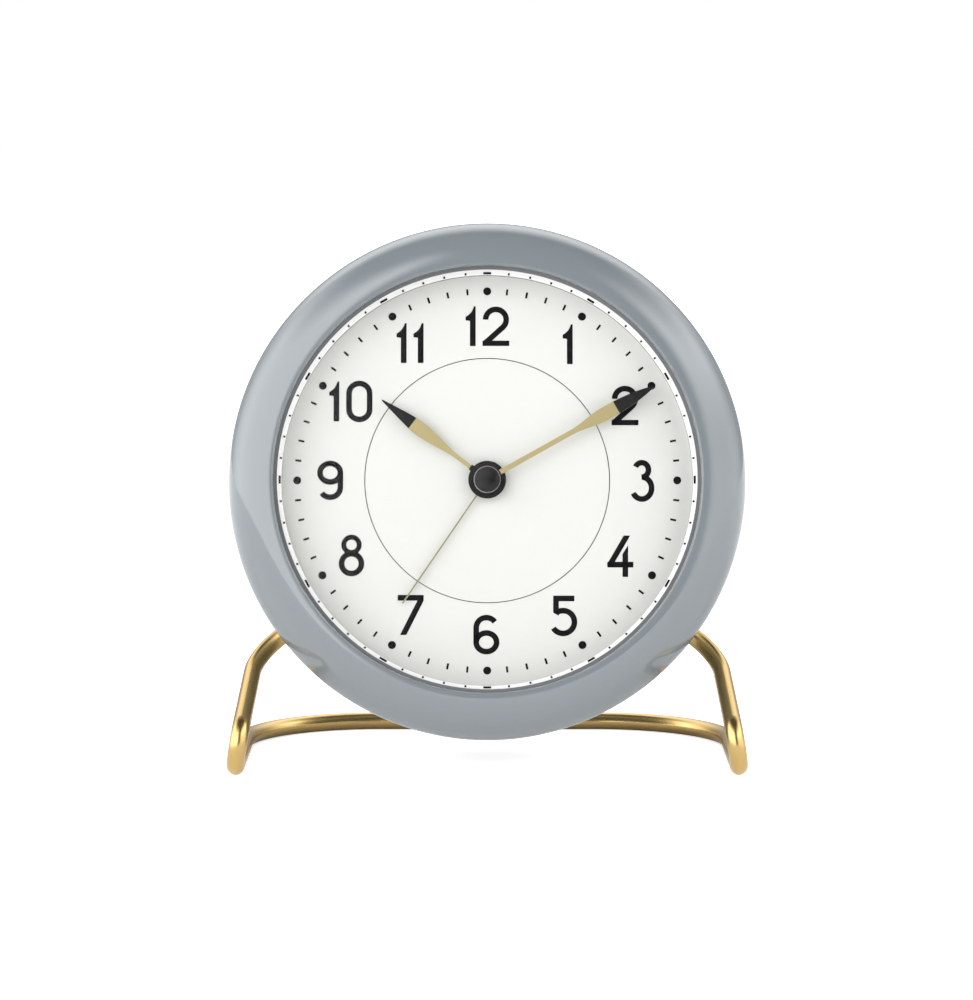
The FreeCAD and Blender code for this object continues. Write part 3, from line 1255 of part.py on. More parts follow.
# Phases of the wheels, worked along each train so that teeth stand in gaps
CANNON_PHASE = 0.0
MOTION_PINION_PHASE = 0.0
ALARM_PHASE = 0.0
CENTRE_PHASE = 0.0
THIRD_PHASE = 0.0
SECOND_PHASE = 0.0
MOTION_PHASE = meshing_phase(CANNON_PHASE, CANNON_TEETH, Vector(), MOTION_TEETH, MOTION_PLACE)
HOUR_PHASE = meshing_phase(
    MOTION_PINION_PHASE, MOTION_PINION_TEETH, MOTION_PLACE, HOUR_TEETH, Vector())
SET_PHASE = meshing_phase(MOTION_PHASE, MOTION_TEETH, MOTION_PLACE, SET_TEETH, TIME_STEM)
ALARM_SET_PHASE = meshing_phase(ALARM_PHASE, ALARM_TEETH, Vector(), ALARM_SET_TEETH, ALARM_STEM)
THIRD_PINION_PHASE = meshing_phase(CENTRE_PHASE, CENTRE_TEETH, Vector(), PINION_TEETH, THIRD_PLACE)
SECOND_PINION_PHASE = meshing_phase(
    THIRD_PHASE, THIRD_TEETH, THIRD_PLACE, PINION_TEETH, SECOND_PLACE)
ROTOR_PHASE = meshing_phase(SECOND_PHASE, SECOND_TEETH, SECOND_PLACE, PINION_TEETH, ROTOR_PLACE)


def alarm_wheel():
    return piped_wheel(
        ALARM_TEETH, ALARM_MODULE, ALARM_LAYER, ALARM_PIPE_RADIUS, ALARM_PIPE_BORE,
        ALARM_HAND_Z + HAND_THICKNESS, ALARM_PHASE)


def hour_wheel():
    return piped_wheel(
        HOUR_TEETH, HOUR_MODULE, HOUR_LAYER, HOUR_PIPE_RADIUS, HOUR_PIPE_BORE,
        HOUR_HAND_Z + HAND_THICKNESS, HOUR_PHASE)


def in_head(shape):
    moved = shape.copy()
    moved.Placement = HEAD.multiply(moved.Placement)
    return moved


HEAD_PIECES = {
    "bezel": bezel,
    "lens": lens,
    "lens_gasket": lens_gasket,
    "dial_ring": dial_ring,
    "dial": dial,
    "dial_carrier": dial_carrier,
    "carrier_screws": carrier_screws,
    "rear_shell": rear_shell,
    "case_screws": case_screws,
    "stand_screws": stand_screws,
    "battery_door": battery_door,
    "battery_cell": battery_cell,
    "positive_contact": lambda: battery_contact(1),
    "negative_contact": lambda: battery_contact(-1),
    "alarm_hand": alarm_hand,
    "hour_hand": hour_hand,
    "minute_hand": minute_hand,
    "hand_cap": hand_cap,
    "movement_housing": movement_housing,
    "movement_screws": movement_screws,
    "movement_bridge": movement_bridge,
    "movement_cover": movement_cover,
    "alarm_wheel": alarm_wheel,
    "hour_wheel": hour_wheel,
    "minute_arbor": minute_arbor,
    "clutch_spring": clutch_spring,
    "centre_wheel": centre_wheel,
    "motion_wheel": motion_wheel,
    "third_wheel": third_wheel,
    "second_wheel": second_wheel,
    "rotor": rotor,
    "stator": stator,
    "coil": coil,
    "coil_core": coil_core,
    "circuit_board": circuit_board,
    "quartz_crystal": quartz_crystal,
    "control_chip": control_chip,
    "alarm_leaf": alarm_leaf,
    "time_set_arbor": time_set_arbor,
    "alarm_set_arbor": alarm_set_arbor,
    "time_knob": lambda: knob(TIME_STEM),
    "alarm_knob": lambda: knob(ALARM_STEM),
    "rear_board": rear_board,
    "rear_board_screws": rear_board_screws,
    "snooze_button": snooze_button,
    "snooze_switch": snooze_switch,
    "alarm_switch": alarm_switch,
    "switch_body": switch_body,
    "sounder": sounder,
}

os.makedirs("parts", exist_ok=True)
pieces = {name: in_head(make()) for name, make in HEAD_PIECES.items()}
pieces["stand"] = stand()
for name, shape in pieces.items():
    shape.exportStep("parts/" + name + ".step")
    state = "valid" if shape.isValid() else "NOT VALID"
    print(f"{name:20s} {len(shape.Solids)} solid {shape.Volume:10.2f} mm3 {state}")
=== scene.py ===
import json
import math

import bmesh
import bpy
import numpy as np
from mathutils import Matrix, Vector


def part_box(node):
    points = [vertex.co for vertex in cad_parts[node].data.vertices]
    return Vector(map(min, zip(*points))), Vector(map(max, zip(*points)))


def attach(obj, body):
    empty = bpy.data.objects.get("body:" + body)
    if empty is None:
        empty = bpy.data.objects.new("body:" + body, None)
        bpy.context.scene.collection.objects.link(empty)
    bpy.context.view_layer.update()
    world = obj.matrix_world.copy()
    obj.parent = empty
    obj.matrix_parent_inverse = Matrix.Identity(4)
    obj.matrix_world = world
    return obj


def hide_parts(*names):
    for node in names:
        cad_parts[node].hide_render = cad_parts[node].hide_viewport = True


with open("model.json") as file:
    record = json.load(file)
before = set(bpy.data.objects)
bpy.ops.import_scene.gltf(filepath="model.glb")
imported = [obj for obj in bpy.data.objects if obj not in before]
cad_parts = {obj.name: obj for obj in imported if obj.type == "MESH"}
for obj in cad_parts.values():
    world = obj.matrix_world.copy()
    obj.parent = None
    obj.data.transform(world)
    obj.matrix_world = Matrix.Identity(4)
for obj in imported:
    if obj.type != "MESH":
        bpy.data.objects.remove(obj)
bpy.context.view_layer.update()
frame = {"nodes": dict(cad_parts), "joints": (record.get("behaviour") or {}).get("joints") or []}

# The quartz movement: a black moulded box that holds acetal wheels, steel arbors and a small stepping
# motor. It hangs by four screws behind the dial, and nothing of it shows but the ends of its pipes.


def new_finish(name, sockets):
    """Material with one Principled shader. Its named sockets hold the values that are the same all over."""
    finish = bpy.data.materials.new(name)
    finish.use_nodes = True
    principled = finish.node_tree.nodes["Principled BSDF"]
    for socket, value in sockets.items():
        principled.inputs[socket].default_value = value
    return finish


def colour(red, green, blue):
    """Linear colour of a colour given as it looks on a screen, from 0 to 255."""
    share = np.array([red, green, blue]) / 255
    linear = np.where(share <= 0.04045, share / 12.92, ((share + 0.055) / 1.055) ** 2.4)
    return (*linear.tolist(), 1.0)


def add_node(finish, kind, **values):
    """Shader node of the given kind, with its own properties set."""
    node = finish.node_tree.nodes.new(kind)
    for name, value in values.items():
        setattr(node, name, value)
    return node


def join(finish, source, target):
    """Link from one node's output to another's input."""
    finish.node_tree.links.new(source, target)


def shader_socket(finish, name):
    """Input of the finish's Principled shader."""
    return finish.node_tree.nodes["Principled BSDF"].inputs[name]


def object_noise(finish, per_metre, detail=3.0, stretch=(1.0, 1.0, 1.0)):
    """Noise read in object coordinates, with so many lumps to the metre, drawn out along some axes."""
    place = add_node(finish, "ShaderNodeTexCoord")
    mapping = add_node(finish, "ShaderNodeMapping")
    mapping.inputs["Scale"].default_value = stretch
    noise = add_node(finish, "ShaderNodeTexNoise")
    noise.inputs["Scale"].default_value = per_metre
    noise.inputs["Detail"].default_value = detail
    join(finish, place.outputs["Object"], mapping.inputs["Vector"])
    join(finish, mapping.outputs["Vector"], noise.inputs["Vector"])
    return noise.outputs["Fac"]


def vary_value(finish, factor, socket, low, high):
    """Spreads a factor from 0 to 1 over a range of values on one of the shader's sockets."""
    spread = add_node(finish, "ShaderNodeMapRange")
    spread.inputs["To Min"].default_value = low
    spread.inputs["To Max"].default_value = high
    join(finish, factor, spread.inputs["Value"])
    join(finish, spread.outputs["Result"], shader_socket(finish, socket))


def blend_colours(finish, factor, first, second):
    """Colour between two, by a factor. Either may be a colour or another node's output."""
    mix = add_node(finish, "ShaderNodeMix", data_type="RGBA")
    for name, value in (("A", first), ("B", second)):
        socket = next(s for s in mix.inputs if s.name == name and s.type == "RGBA")
        if isinstance(value, tuple):
            socket.default_value = value
        else:
            join(finish, value, socket)
    join(finish, factor, mix.inputs["Factor"])
    return next(s for s in mix.outputs if s.type == "RGBA")


def add_bump(finish, height, metres):
    """Raises the surface by a height from 0 to 1, times so many metres."""
    bump = add_node(finish, "ShaderNodeBump")
    bump.inputs["Distance"].default_value = metres
    join(finish, height, bump.inputs["Height"])
    join(finish, bump.outputs["Normal"], shader_socket(finish, "Normal"))


TONE_DROP = 0.94
TONE_PER_METRE = 60
ROUGH_SPREAD = 0.06


def moulded_plastic(name, shade, rough, grain_per_metre, grain_depth):
    """Plastic with the fine even grain of its mould and a faint change of tone."""
    finish = new_finish(name, {})
    grain = object_noise(finish, grain_per_metre)
    darker = tuple(TONE_DROP * part for part in shade[:3]) + (1.0,)
    tone = blend_colours(finish, object_noise(finish, TONE_PER_METRE), darker, shade)
    join(finish, tone, shader_socket(finish, "Base Color"))
    vary_value(finish, grain, "Roughness", rough - ROUGH_SPREAD, rough + ROUGH_SPREAD)
    add_bump(finish, grain, grain_depth)
    return finish


def dress(finish, *nodes):
    """Puts a finish in the material slot of each of these parts."""
    for node in nodes:
        frame["nodes"][node].material_slots[0].material = finish


BLACK_MOULDING = moulded_plastic("black_moulding", colour(34, 34, 36), 0.5, 2500, 2e-5)
dress(BLACK_MOULDING, "movement_housing", "movement_cover", "movement_bridge", "sounder", "switch_body",
      "snooze_switch", "control_chip")
ACETAL = moulded_plastic("natural_acetal", colour(232, 229, 218), 0.4, 1500, 5e-6)
dress(ACETAL, "alarm_wheel", "hour_wheel", "motion_wheel", "third_wheel", "second_wheel", "centre_wheel",
      "time_set_arbor", "alarm_set_arbor")


def bare_metal(name, shade, rough, lines_per_metre):
    """Bare metal with fine tool marks: noise drawn out across the clock into short lines."""
    finish = new_finish(name, {"Base Color": shade, "Metallic": 1.0})
    marks = object_noise(finish, lines_per_metre, 4.0, (0.15, 1.0, 1.0))
    vary_value(finish, marks, "Roughness", rough - 0.08, rough + 0.1)
    add_bump(finish, marks, 3e-6)
    return finish


TURNED_STEEL = bare_metal("turned_steel", colour(196, 196, 198), 0.32, 6000)
dress(TURNED_STEEL, "minute_arbor", "clutch_spring", "rotor", "stator", "coil_core", "quartz_crystal")
ZINC_SCREWS = bare_metal("zinc_screws", colour(186, 188, 190), 0.38, 4000)
dress(ZINC_SCREWS, "carrier_screws", "case_screws", "stand_screws", "movement_screws", "rear_board_screws")
NICKEL_SHEET = bare_metal("nickel_sheet", colour(214, 211, 203), 0.26, 5000)
dress(NICKEL_SHEET, "positive_contact", "negative_contact", "alarm_leaf")


TURNS_PER_METRE = 9000


def copper_winding():
    """Enamelled copper wire, wound in turns that lie side by side along the coil."""
    finish = new_finish("copper_winding", {
        "Base Color": colour(184, 105, 62), "Metallic": 1.0, "Roughness": 0.3})
    place = add_node(finish, "ShaderNodeTexCoord")
    turns = add_node(finish, "ShaderNodeTexWave", bands_direction="Z")
    turns.inputs["Scale"].default_value = TURNS_PER_METRE / (2 * math.pi)
    join(finish, place.outputs["Object"], turns.inputs["Vector"])
    add_bump(finish, turns.outputs["Fac"], 3e-5)
    return finish


dress(copper_winding(), "coil")


def solder_mask():
    """Green lacquer over a glass cloth board, a little blotchy."""
    finish = new_finish("solder_mask", {"Roughness": 0.34})
    blotch = object_noise(finish, 900)
    tone = blend_colours(finish, blotch, colour(22, 78, 44), colour(30, 96, 56))
    join(finish, tone, shader_socket(finish, "Base Color"))
    add_bump(finish, object_noise(finish, 5000), 4e-6)
    return finish


dress(solder_mask(), "circuit_board", "rear_board")

# The dial: a thin metal disc, sprayed satin white, on a white moulded carrier behind the glass.
# The carrier is screwed to the bezel, and the movement's bushing comes through the middle.


def sprayed_lacquer():
    """Satin white lacquer with the faint unevenness of a sprayed coat."""
    finish = new_finish("dial_lacquer", {"Specular IOR Level": 0.35})
    spray = object_noise(finish, 1800, 2.0)
    patches = object_noise(finish, 25, 1.0)
    tone = blend_colours(finish, patches, colour(197, 198, 194), colour(201, 201, 197))
    join(finish, tone, shader_socket(finish, "Base Color"))
    vary_value(finish, spray, "Roughness", 0.42, 0.54)
    add_bump(finish, spray, 4e-6)
    return finish


dress(sprayed_lacquer(), "dial")
WHITE_MOULDING = moulded_plastic("white_moulding", colour(244, 245, 244), 0.42, 2000, 3e-6)
dress(WHITE_MOULDING, "dial_carrier")

# The printing on the dial: black ink, laid on in one pass. Twelve plain upright numerals, a dot at
# each hour, a short mark at each minute between, and a hairline circle that the hour hand's tip follows.

hand_joint = next(joint for joint in frame["joints"] if joint["name"] == "minute_hand_turn")
DIAL_CENTRE = np.array(hand_joint["pos_m"])
DIAL_OUT = -np.array(hand_joint["axis"])
DIAL_RIGHT = np.array([1.0, 0.0, 0.0])
DIAL_UP = np.cross(DIAL_OUT, DIAL_RIGHT)


def on_clock(points):
    """Points in millimetres right of, above and out of the dial's middle, put in the clock's frame."""
    metres = np.asarray(points, float) / 1000
    return DIAL_CENTRE + metres @ np.stack([DIAL_RIGHT, DIAL_UP, DIAL_OUT])


INK = 0.02
NUMERAL_STROKE = 1.2
DOT_RADIUS = 0.85
MARK_CIRCLE = 40.3
MARK_LENGTH = 1.3
MARK_WIDTH = 0.45
HAIRLINE_CIRCLE = 25.97
HAIRLINE = 0.17
HAIRLINE_POINTS = 241
DOT_HALF_TURN = 86
ARC_STEP = 4
FEWEST_POINTS = 8


def arc(centre, radii, start, end):
    """Points on an ellipse: the centre, plus the radii times cosine and sine, from one angle to another."""
    count = max(FEWEST_POINTS, int(abs(end - start) / ARC_STEP))
    angle = np.radians(np.linspace(start, end, count))
    return np.column_stack([centre[0] + radii[0] * np.cos(angle), centre[1] + radii[1] * np.sin(angle)])


def stroke(path, width=NUMERAL_STROKE, start_cut=None, end_cut=None):
    """Two edges of a pen stroke along a path. Each point steps aside by half the width over the cosine of
    the half turn there, along the mean of its neighbours' normals, or along a given cut at the ends."""
    path = np.asarray(path, float)
    runs = np.diff(path, axis=0)
    runs /= np.linalg.norm(runs, axis=1)[:, None]
    normals = np.column_stack([-runs[:, 1], runs[:, 0]])
    before = np.vstack([normals[:1], normals])
    after = np.vstack([normals, normals[-1:]])
    aside = before + after
    for end, cut in ((0, start_cut), (-1, end_cut)):
        if cut is not None:
            aside[end] = cut
    reach = np.sum(aside * after, axis=1)[:, None]
    aside = aside * (width / 2) / reach
    return path + aside, path - aside


FLAT = (1.0, 0.0)
FOUR_CUT = (0.526, 0.85)
FIVE_CUT = (0.876, -0.48)
BAR_STROKE = 1.14
SMALL_BOWL_STROKE = 1.06
BEND_POINTS = 12


def bend(start, handle, end):
    """Curve with one handle: (1 - t)^2 of its start, 2 t (1 - t) of the handle and t^2 of its end."""
    share = np.linspace(0, 1, BEND_POINTS)[:, None]
    return (1 - share) ** 2 * start + 2 * share * (1 - share) * handle + share ** 2 * end


def one():
    """Upright with a hollow-backed flag: a ruled strip from the left edge to the straight right edge."""
    flag = bend(np.array([-1.07, 2.03]), np.array([0.35, 2.75]), np.array([0.65, 4.25]))
    left = np.vstack([[(-0.15, -4.25), (-0.15, 1.13), (-1.07, 1.24)], flag])
    right = np.column_stack([np.full(len(left), 1.07), left[:, 1]])
    return [(left, right)]


def six():
    """Straight back between the top curve and a round bowl."""
    top = arc((0, 1.46), (2.16, 2.13), 35, 180)
    bowl = arc((0, -1.63), (2.16, 1.97), 180, 540)
    return [stroke(np.vstack([top, bowl]))]


def seen_upside_down(strokes):
    """Strokes after half a turn about their middle: both numbers of each point change their sign."""
    return [(-left, -right) for left, right in strokes]


DIGITS = {
    "0": [stroke(np.vstack([
        arc((0, 1.64), (2.19, 2.19), 0, 180), arc((0, -1.64), (2.19, 2.19), 180, 360), [(2.19, 1.65)]]))],
    "1": one(),
    "2": [
        stroke(np.vstack([arc((0, 1.4), (2.19, 2.19), 180, -48), [(-1.75, -3.13)]]), end_cut=FLAT),
        stroke([(-2.85, -3.65), (2.85, -3.65)], BAR_STROKE),
    ],
    "3": [
        stroke(np.vstack([arc((-0.17, 2.33), (1.43, 1.54), 155, -90), [(-0.22, 0.785)]])),
        stroke(np.vstack([[(-0.22, 0.785)], arc((-0.14, -1.54), (2.05, 2.33), 90, -153)])),
    ],
    "4": [
        stroke([(1.415, 4.39), (-2.2, -1.81)], start_cut=FLAT, end_cut=FLAT),
        stroke([(-2.76, -1.78), (2.76, -1.78)]),
        stroke([(1.05, -4.39), (1.05, 1.39)], end_cut=FOUR_CUT),
    ],
    "5": [
        stroke([(2.16, 3.7), (-1.74, 3.7), (-1.74, 0.36)], end_cut=FIVE_CUT),
        stroke(arc((-0.25, -1.29), (2.41, 2.41), 128, -148)),
    ],
    "6": six(),
    "7": [
        stroke([(-2.76, 3.64), (2.76, 3.64)]),
        stroke([(2.09, 3.05), (-1.58, -4.23)], start_cut=FLAT, end_cut=FLAT),
    ],
    "8": [
        stroke(np.vstack([arc((0, 2.26), (1.63, 1.63), 0, 360), [(1.63, 2.27)]]), SMALL_BOWL_STROKE),
        stroke(np.vstack([arc((0, -1.72), (2.1, 2.1), 0, 360), [(2.1, -1.71)]])),
    ],
    "9": seen_upside_down(six()),
}
NUMERALS = {
    "12": (0.05, 32.85), "1": (17.1, 29.0), "2": (29.25, 15.95), "3": (32.95, -0.1),
    "4": (28.2, -16.1), "5": (16.3, -28.75), "6": (-0.17, -32.7), "7": (-16.2, -28.55),
    "8": (-28.75, -15.95), "9": (-33.3, 0.0), "10": (-28.95, 16.8), "11": (-16.4, 29.25),
}
DIGIT_WIDTHS = {"0": 5.6, "1": 2.15, "2": 5.7}
DIGIT_GAP = 1.45


def numeral_strokes(text, centre):
    """Strokes of a numeral about its centre. Two digits stand side by side with a set gap."""
    if len(text) == 1:
        shifts = [0.0]
    else:
        first, second = (DIGIT_WIDTHS[digit] for digit in text)
        whole = first + DIGIT_GAP + second
        shifts = [(first - whole) / 2, (whole - second) / 2]
    moved = []
    for digit, shift in zip(text, shifts):
        place = np.array([centre[0] + shift, centre[1]])
        moved += [(left + place, right + place) for left, right in DIGITS[digit]]
    return moved


def minute_mark(minute):
    """Dot at an hour, drawn as a strip between two half circles, or a short radial stroke between hours."""
    angle = math.radians(6 * minute)
    out = np.array([math.sin(angle), math.cos(angle)])
    middle = out * MARK_CIRCLE
    if minute % 5:
        reach = out * MARK_LENGTH / 2
        return stroke([middle - reach, middle + reach], MARK_WIDTH)
    half = arc((0, 0), (DOT_RADIUS, DOT_RADIUS), -DOT_HALF_TURN, DOT_HALF_TURN)
    return half * (-1, 1) + middle, half + middle


def hairline():
    """Edges of a thin ring about the dial's middle: sine and cosine of the angle, times either radius."""
    angle = np.radians(np.linspace(0, 360, HAIRLINE_POINTS))
    round_dial = np.column_stack([np.sin(angle), np.cos(angle)])
    return round_dial * (HAIRLINE_CIRCLE + HAIRLINE / 2), round_dial * (HAIRLINE_CIRCLE - HAIRLINE / 2)


def ink_slab(edges, height):
    """Corners of a thin closed strip: both edges on the dial's face, and both again at the ink's height."""
    left, right = edges
    level = np.zeros((len(left), 1))
    face = [np.hstack([left, level]), np.hstack([right, level])]
    top = [np.hstack([right, level + height]), np.hstack([left, level + height])]
    return np.stack(face + top, axis=1)


def slab_faces(count, first):
    """Quads round the four sides of a strip of so many steps, and one at each end, as point numbers."""
    corner = first + np.arange(4 * count).reshape(count, 4)
    beside = np.roll(corner, -1, axis=1)
    sides = np.stack([corner[:-1], beside[:-1], beside[1:], corner[1:]], axis=-1).reshape(-1, 4)
    return np.vstack([sides, corner[:1, ::-1], corner[-1:]])


def add_piece(name, points, faces, finish, body):
    """New closed mesh with its faces turned outwards, in the clock's frame, riding on a body."""
    mesh = bpy.data.meshes.new(name)
    mesh.from_pydata(points.tolist(), [], faces.tolist())
    shaped = bmesh.new()
    shaped.from_mesh(mesh)
    bmesh.ops.recalc_face_normals(shaped, faces=shaped.faces)
    shaped.to_mesh(mesh)
    shaped.free()
    mesh.materials.append(finish)
    piece = bpy.data.objects.new(name, mesh)
    bpy.context.scene.collection.objects.link(piece)
    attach(piece, body)
    return piece


def add_slabs(name, slabs, finish, body):
    """One piece of many thin strips, each given by its corners in the clock's frame."""
    counts = [len(slab) for slab in slabs]
    firsts = 4 * np.cumsum([0] + counts[:-1])
    faces = np.vstack([slab_faces(count, first) for count, first in zip(counts, firsts)])
    points = np.vstack([slab.reshape(-1, 3) for slab in slabs])
    return add_piece(name, points, faces, finish, body)


def printing_ink():
    """Dense black ink with a dull skin."""
    finish = new_finish("printing_ink", {"Specular IOR Level": 0.05})
    skin = object_noise(finish, 3000)
    tone = blend_colours(finish, skin, colour(14, 14, 15), colour(22, 22, 23))
    join(finish, tone, shader_socket(finish, "Base Color"))
    vary_value(finish, skin, "Roughness", 0.5, 0.65)
    return finish


OVERLAP_SHARE = 0.25
BLACK_INK = printing_ink()
printed = [strip for text, centre in NUMERALS.items() for strip in numeral_strokes(text, centre)]
printed += [minute_mark(minute) for minute in range(60)]
printed.append(hairline())
overlap_step = OVERLAP_SHARE * INK / len(printed)
dial_slabs = [on_clock(ink_slab(strip, INK + overlap_step * n)) for n, strip in enumerate(printed)]
add_slabs("dial_print", dial_slabs, BLACK_INK, "case")

# The hands: punched from thin sheet and gold anodised, with black tips and a black hub on the hour
# hand. They are pressed on the arbor and the pipes, and a black domed cap closes the minute hand's hub.

HOUR_TIP_FROM = 19.86
HOUR_HUB_TO = 4.5
MINUTE_TIP_FROM = 31.3
MINUTE_HUB_TO = 3.2
MINUTE_RIM_TO = 2.83
ALARM_HUB_TO = 4.0
LONGEST_HAND = 60.0
GOLD = (colour(173, 161, 120), colour(162, 149, 108))
GREY_GOLD = (colour(150, 147, 116), colour(140, 136, 106))
HAND_BLACK = colour(24, 24, 25)
BARE_SHEET = colour(186, 184, 174)
EDGE_FACING = 0.5
HAND_ANGLES = {"hour_hand": 307.2, "minute_hand": 60.8, "alarm_hand": 214.4}


def combine(finish, operation, *values):
    """Number worked out from one to three others, each a value or another node's output."""
    node = add_node(finish, "ShaderNodeMath", operation=operation)
    for socket, value in zip(node.inputs, values):
        if isinstance(value, float):
            socket.default_value = value
        else:
            join(finish, value, socket)
    return node.outputs["Value"]


def combine_arrows(finish, operation, *values):
    """Vector node on one or two vectors, each a fixed one or another node's output."""
    node = add_node(finish, "ShaderNodeVectorMath", operation=operation)
    for socket, value in zip(node.inputs, values):
        if isinstance(value, np.ndarray):
            socket.default_value = value
        else:
            join(finish, value, socket)
    return node.outputs


def place_on_dial(finish):
    """Arrow from the dial's middle to a point, and the arrow there along the circle about the dial's axis."""
    place = add_node(finish, "ShaderNodeTexCoord").outputs["Object"]
    from_middle = combine_arrows(finish, "SUBTRACT", place, DIAL_CENTRE)["Vector"]
    along_circle = combine_arrows(finish, "CROSS_PRODUCT", from_middle, DIAL_OUT)["Vector"]
    return from_middle, along_circle


def anodised_hand(node, tones, hub_to, black_from, rim_to=0.0):
    """Satin in two tones of gold, black up to one distance from the dial's axis and beyond another along the
    hand. The punched edges, which don't face out of the dial, are bare, and so is a rim round the axis."""
    angle = math.radians(HAND_ANGLES[node])
    along = math.sin(angle) * DIAL_RIGHT + math.cos(angle) * DIAL_UP
    finish = new_finish(node + "_finish", {"Specular IOR Level": 0.15})
    from_middle, along_circle = place_on_dial(finish)
    reach = combine_arrows(finish, "DOT_PRODUCT", from_middle, along)["Value"]
    radius = combine_arrows(finish, "LENGTH", along_circle)["Value"]
    tip = combine(finish, "GREATER_THAN", reach, black_from / 1000)
    hub = combine(finish, "LESS_THAN", radius, hub_to / 1000)
    black = combine(finish, "MAXIMUM", tip, hub)
    normal = add_node(finish, "ShaderNodeNewGeometry").outputs["Normal"]
    facing = combine(finish, "ABSOLUTE", combine_arrows(finish, "DOT_PRODUCT", normal, DIAL_OUT)["Value"])
    edge = combine(finish, "LESS_THAN", facing, EDGE_FACING)
    bare = combine(finish, "MAXIMUM", edge, combine(finish, "LESS_THAN", radius, rim_to / 1000))
    satin = object_noise(finish, 4000)
    warm = blend_colours(finish, satin, *tones)
    painted = blend_colours(finish, black, warm, HAND_BLACK)
    join(finish, blend_colours(finish, bare, painted, BARE_SHEET), shader_socket(finish, "Base Color"))
    metal = combine(finish, "MAXIMUM", bare, combine(finish, "SUBTRACT", 1.0, black))
    join(finish, metal, shader_socket(finish, "Metallic"))
    vary_value(finish, satin, "Roughness", 0.38, 0.5)
    return finish


dress(anodised_hand("hour_hand", GOLD, HOUR_HUB_TO, HOUR_TIP_FROM), "hour_hand")
dress(anodised_hand("minute_hand", GOLD, MINUTE_HUB_TO, MINUTE_TIP_FROM, MINUTE_RIM_TO), "minute_hand")
dress(anodised_hand("alarm_hand", GREY_GOLD, ALARM_HUB_TO, LONGEST_HAND), "alarm_hand")


def turned_cap():
    """Black anodised metal with turning marks, whose highlight spreads across the tool's circles."""
    finish = new_finish("turned_cap", {"Metallic": 1.0, "Anisotropic": 0.75})
    along_circle = place_on_dial(finish)[1]
    tangent = combine_arrows(finish, "NORMALIZE", along_circle)["Vector"]
    join(finish, tangent, shader_socket(finish, "Tangent"))
    marks = object_noise(finish, 3000)
    tone = blend_colours(finish, marks, colour(43, 42, 43), colour(49, 48, 49))
    join(finish, tone, shader_socket(finish, "Base Color"))
    vary_value(finish, marks, "Roughness", 0.34, 0.42)
    return finish


dress(turned_cap(), "hand_cap")

# The white ring between dial and glass: a moulded cone with a short dash printed on its slope at each
# hour and a small tick at each minute. It rests on the dial and holds the glass against its gasket.

RING_INNER = 43.5
# Radial depth of the painted shadow line on the ring's inner edge.
SHADOW_LINE_DEPTH = 0.02


def ring_white_painted_glow_and_shadow():
    """Glossy white with a painted glow: a faint emission all over, which keeps it bright in the bezel's shade.
    Its upright inner edge, up to a small distance beyond the ring's inner radius, is a painted shadow line."""
    # Painted glow: the emission set here lights the white ring from within, though it is no lamp.
    finish = new_finish("ring_white_painted_glow_and_shadow", {"IOR": 1.55, "Emission Strength": 0.1})
    radius = combine_arrows(finish, "LENGTH", place_on_dial(finish)[1])["Value"]
    # Painted shadow: up to this depth the ring's inner edge is dark grey, standing in for the shadow at its
    # foot.
    edge = combine(finish, "LESS_THAN", radius, (RING_INNER + SHADOW_LINE_DEPTH) / 1000)
    grain = object_noise(finish, 2000)
    white = blend_colours(finish, grain, colour(222, 222, 221), colour(226, 226, 225))
    white_with_painted_shadow = blend_colours(finish, edge, white, colour(40, 40, 41))
    join(finish, white_with_painted_shadow, shader_socket(finish, "Base Color"))
    # Painted glow, switched off on the painted shadow line of the inner edge.
    glow = blend_colours(finish, edge, (1.0, 1.0, 1.0, 1.0), (0.0, 0.0, 0.0, 1.0))
    join(finish, glow, shader_socket(finish, "Emission Color"))
    vary_value(finish, grain, "Roughness", 0.2, 0.3)
    return finish


dress(ring_white_painted_glow_and_shadow(), "dial_ring")
RING_OUTER = 45.0
RING_EDGE = 1.9
RING_TOP = 3.4
MARK_SLOPE = (0.15, 0.42)
MARK_LIFT = 0.08
MARK_ROOT = 0.05
DASH_LENGTH = 1.7
TICK_WIDTH = 0.42
MARK_POINTS = 5


def ring_mark(minute):
    """Patch on the cone: the radius and height grow together along the slope while the angle runs across
    the mark. The four corners of each step lie a little under the slope and above it, square to it."""
    width = TICK_WIDTH if minute % 5 else DASH_LENGTH
    half = width / (RING_INNER + RING_OUTER)
    angle = math.radians(6 * minute) + np.linspace(-half, half, MARK_POINTS)
    round_dial = np.column_stack([np.sin(angle), np.cos(angle), np.zeros(MARK_POINTS)])
    slope = np.array([RING_OUTER - RING_INNER, RING_TOP - RING_EDGE])
    square = np.array([-slope[1], slope[0]]) / np.linalg.norm(slope)
    low, high = MARK_SLOPE
    edges = []
    for share, lift in ((low, -MARK_ROOT), (high, -MARK_ROOT), (high, MARK_LIFT), (low, MARK_LIFT)):
        radius, height = np.array([RING_INNER, RING_EDGE]) + share * slope + lift * square
        edges.append(radius * round_dial + (0, 0, height))
    return on_clock(np.stack(edges, axis=1))


add_slabs("ring_print", [ring_mark(minute) for minute in range(60)], BLACK_INK, "case")

# The glass and its gasket: a shallow polished dome with a flat rim, pressed against a thin grey rubber
# ring under the bezel's lip.

FACING_MIRROR = 0.006
GRAZING_POWER = 5.0


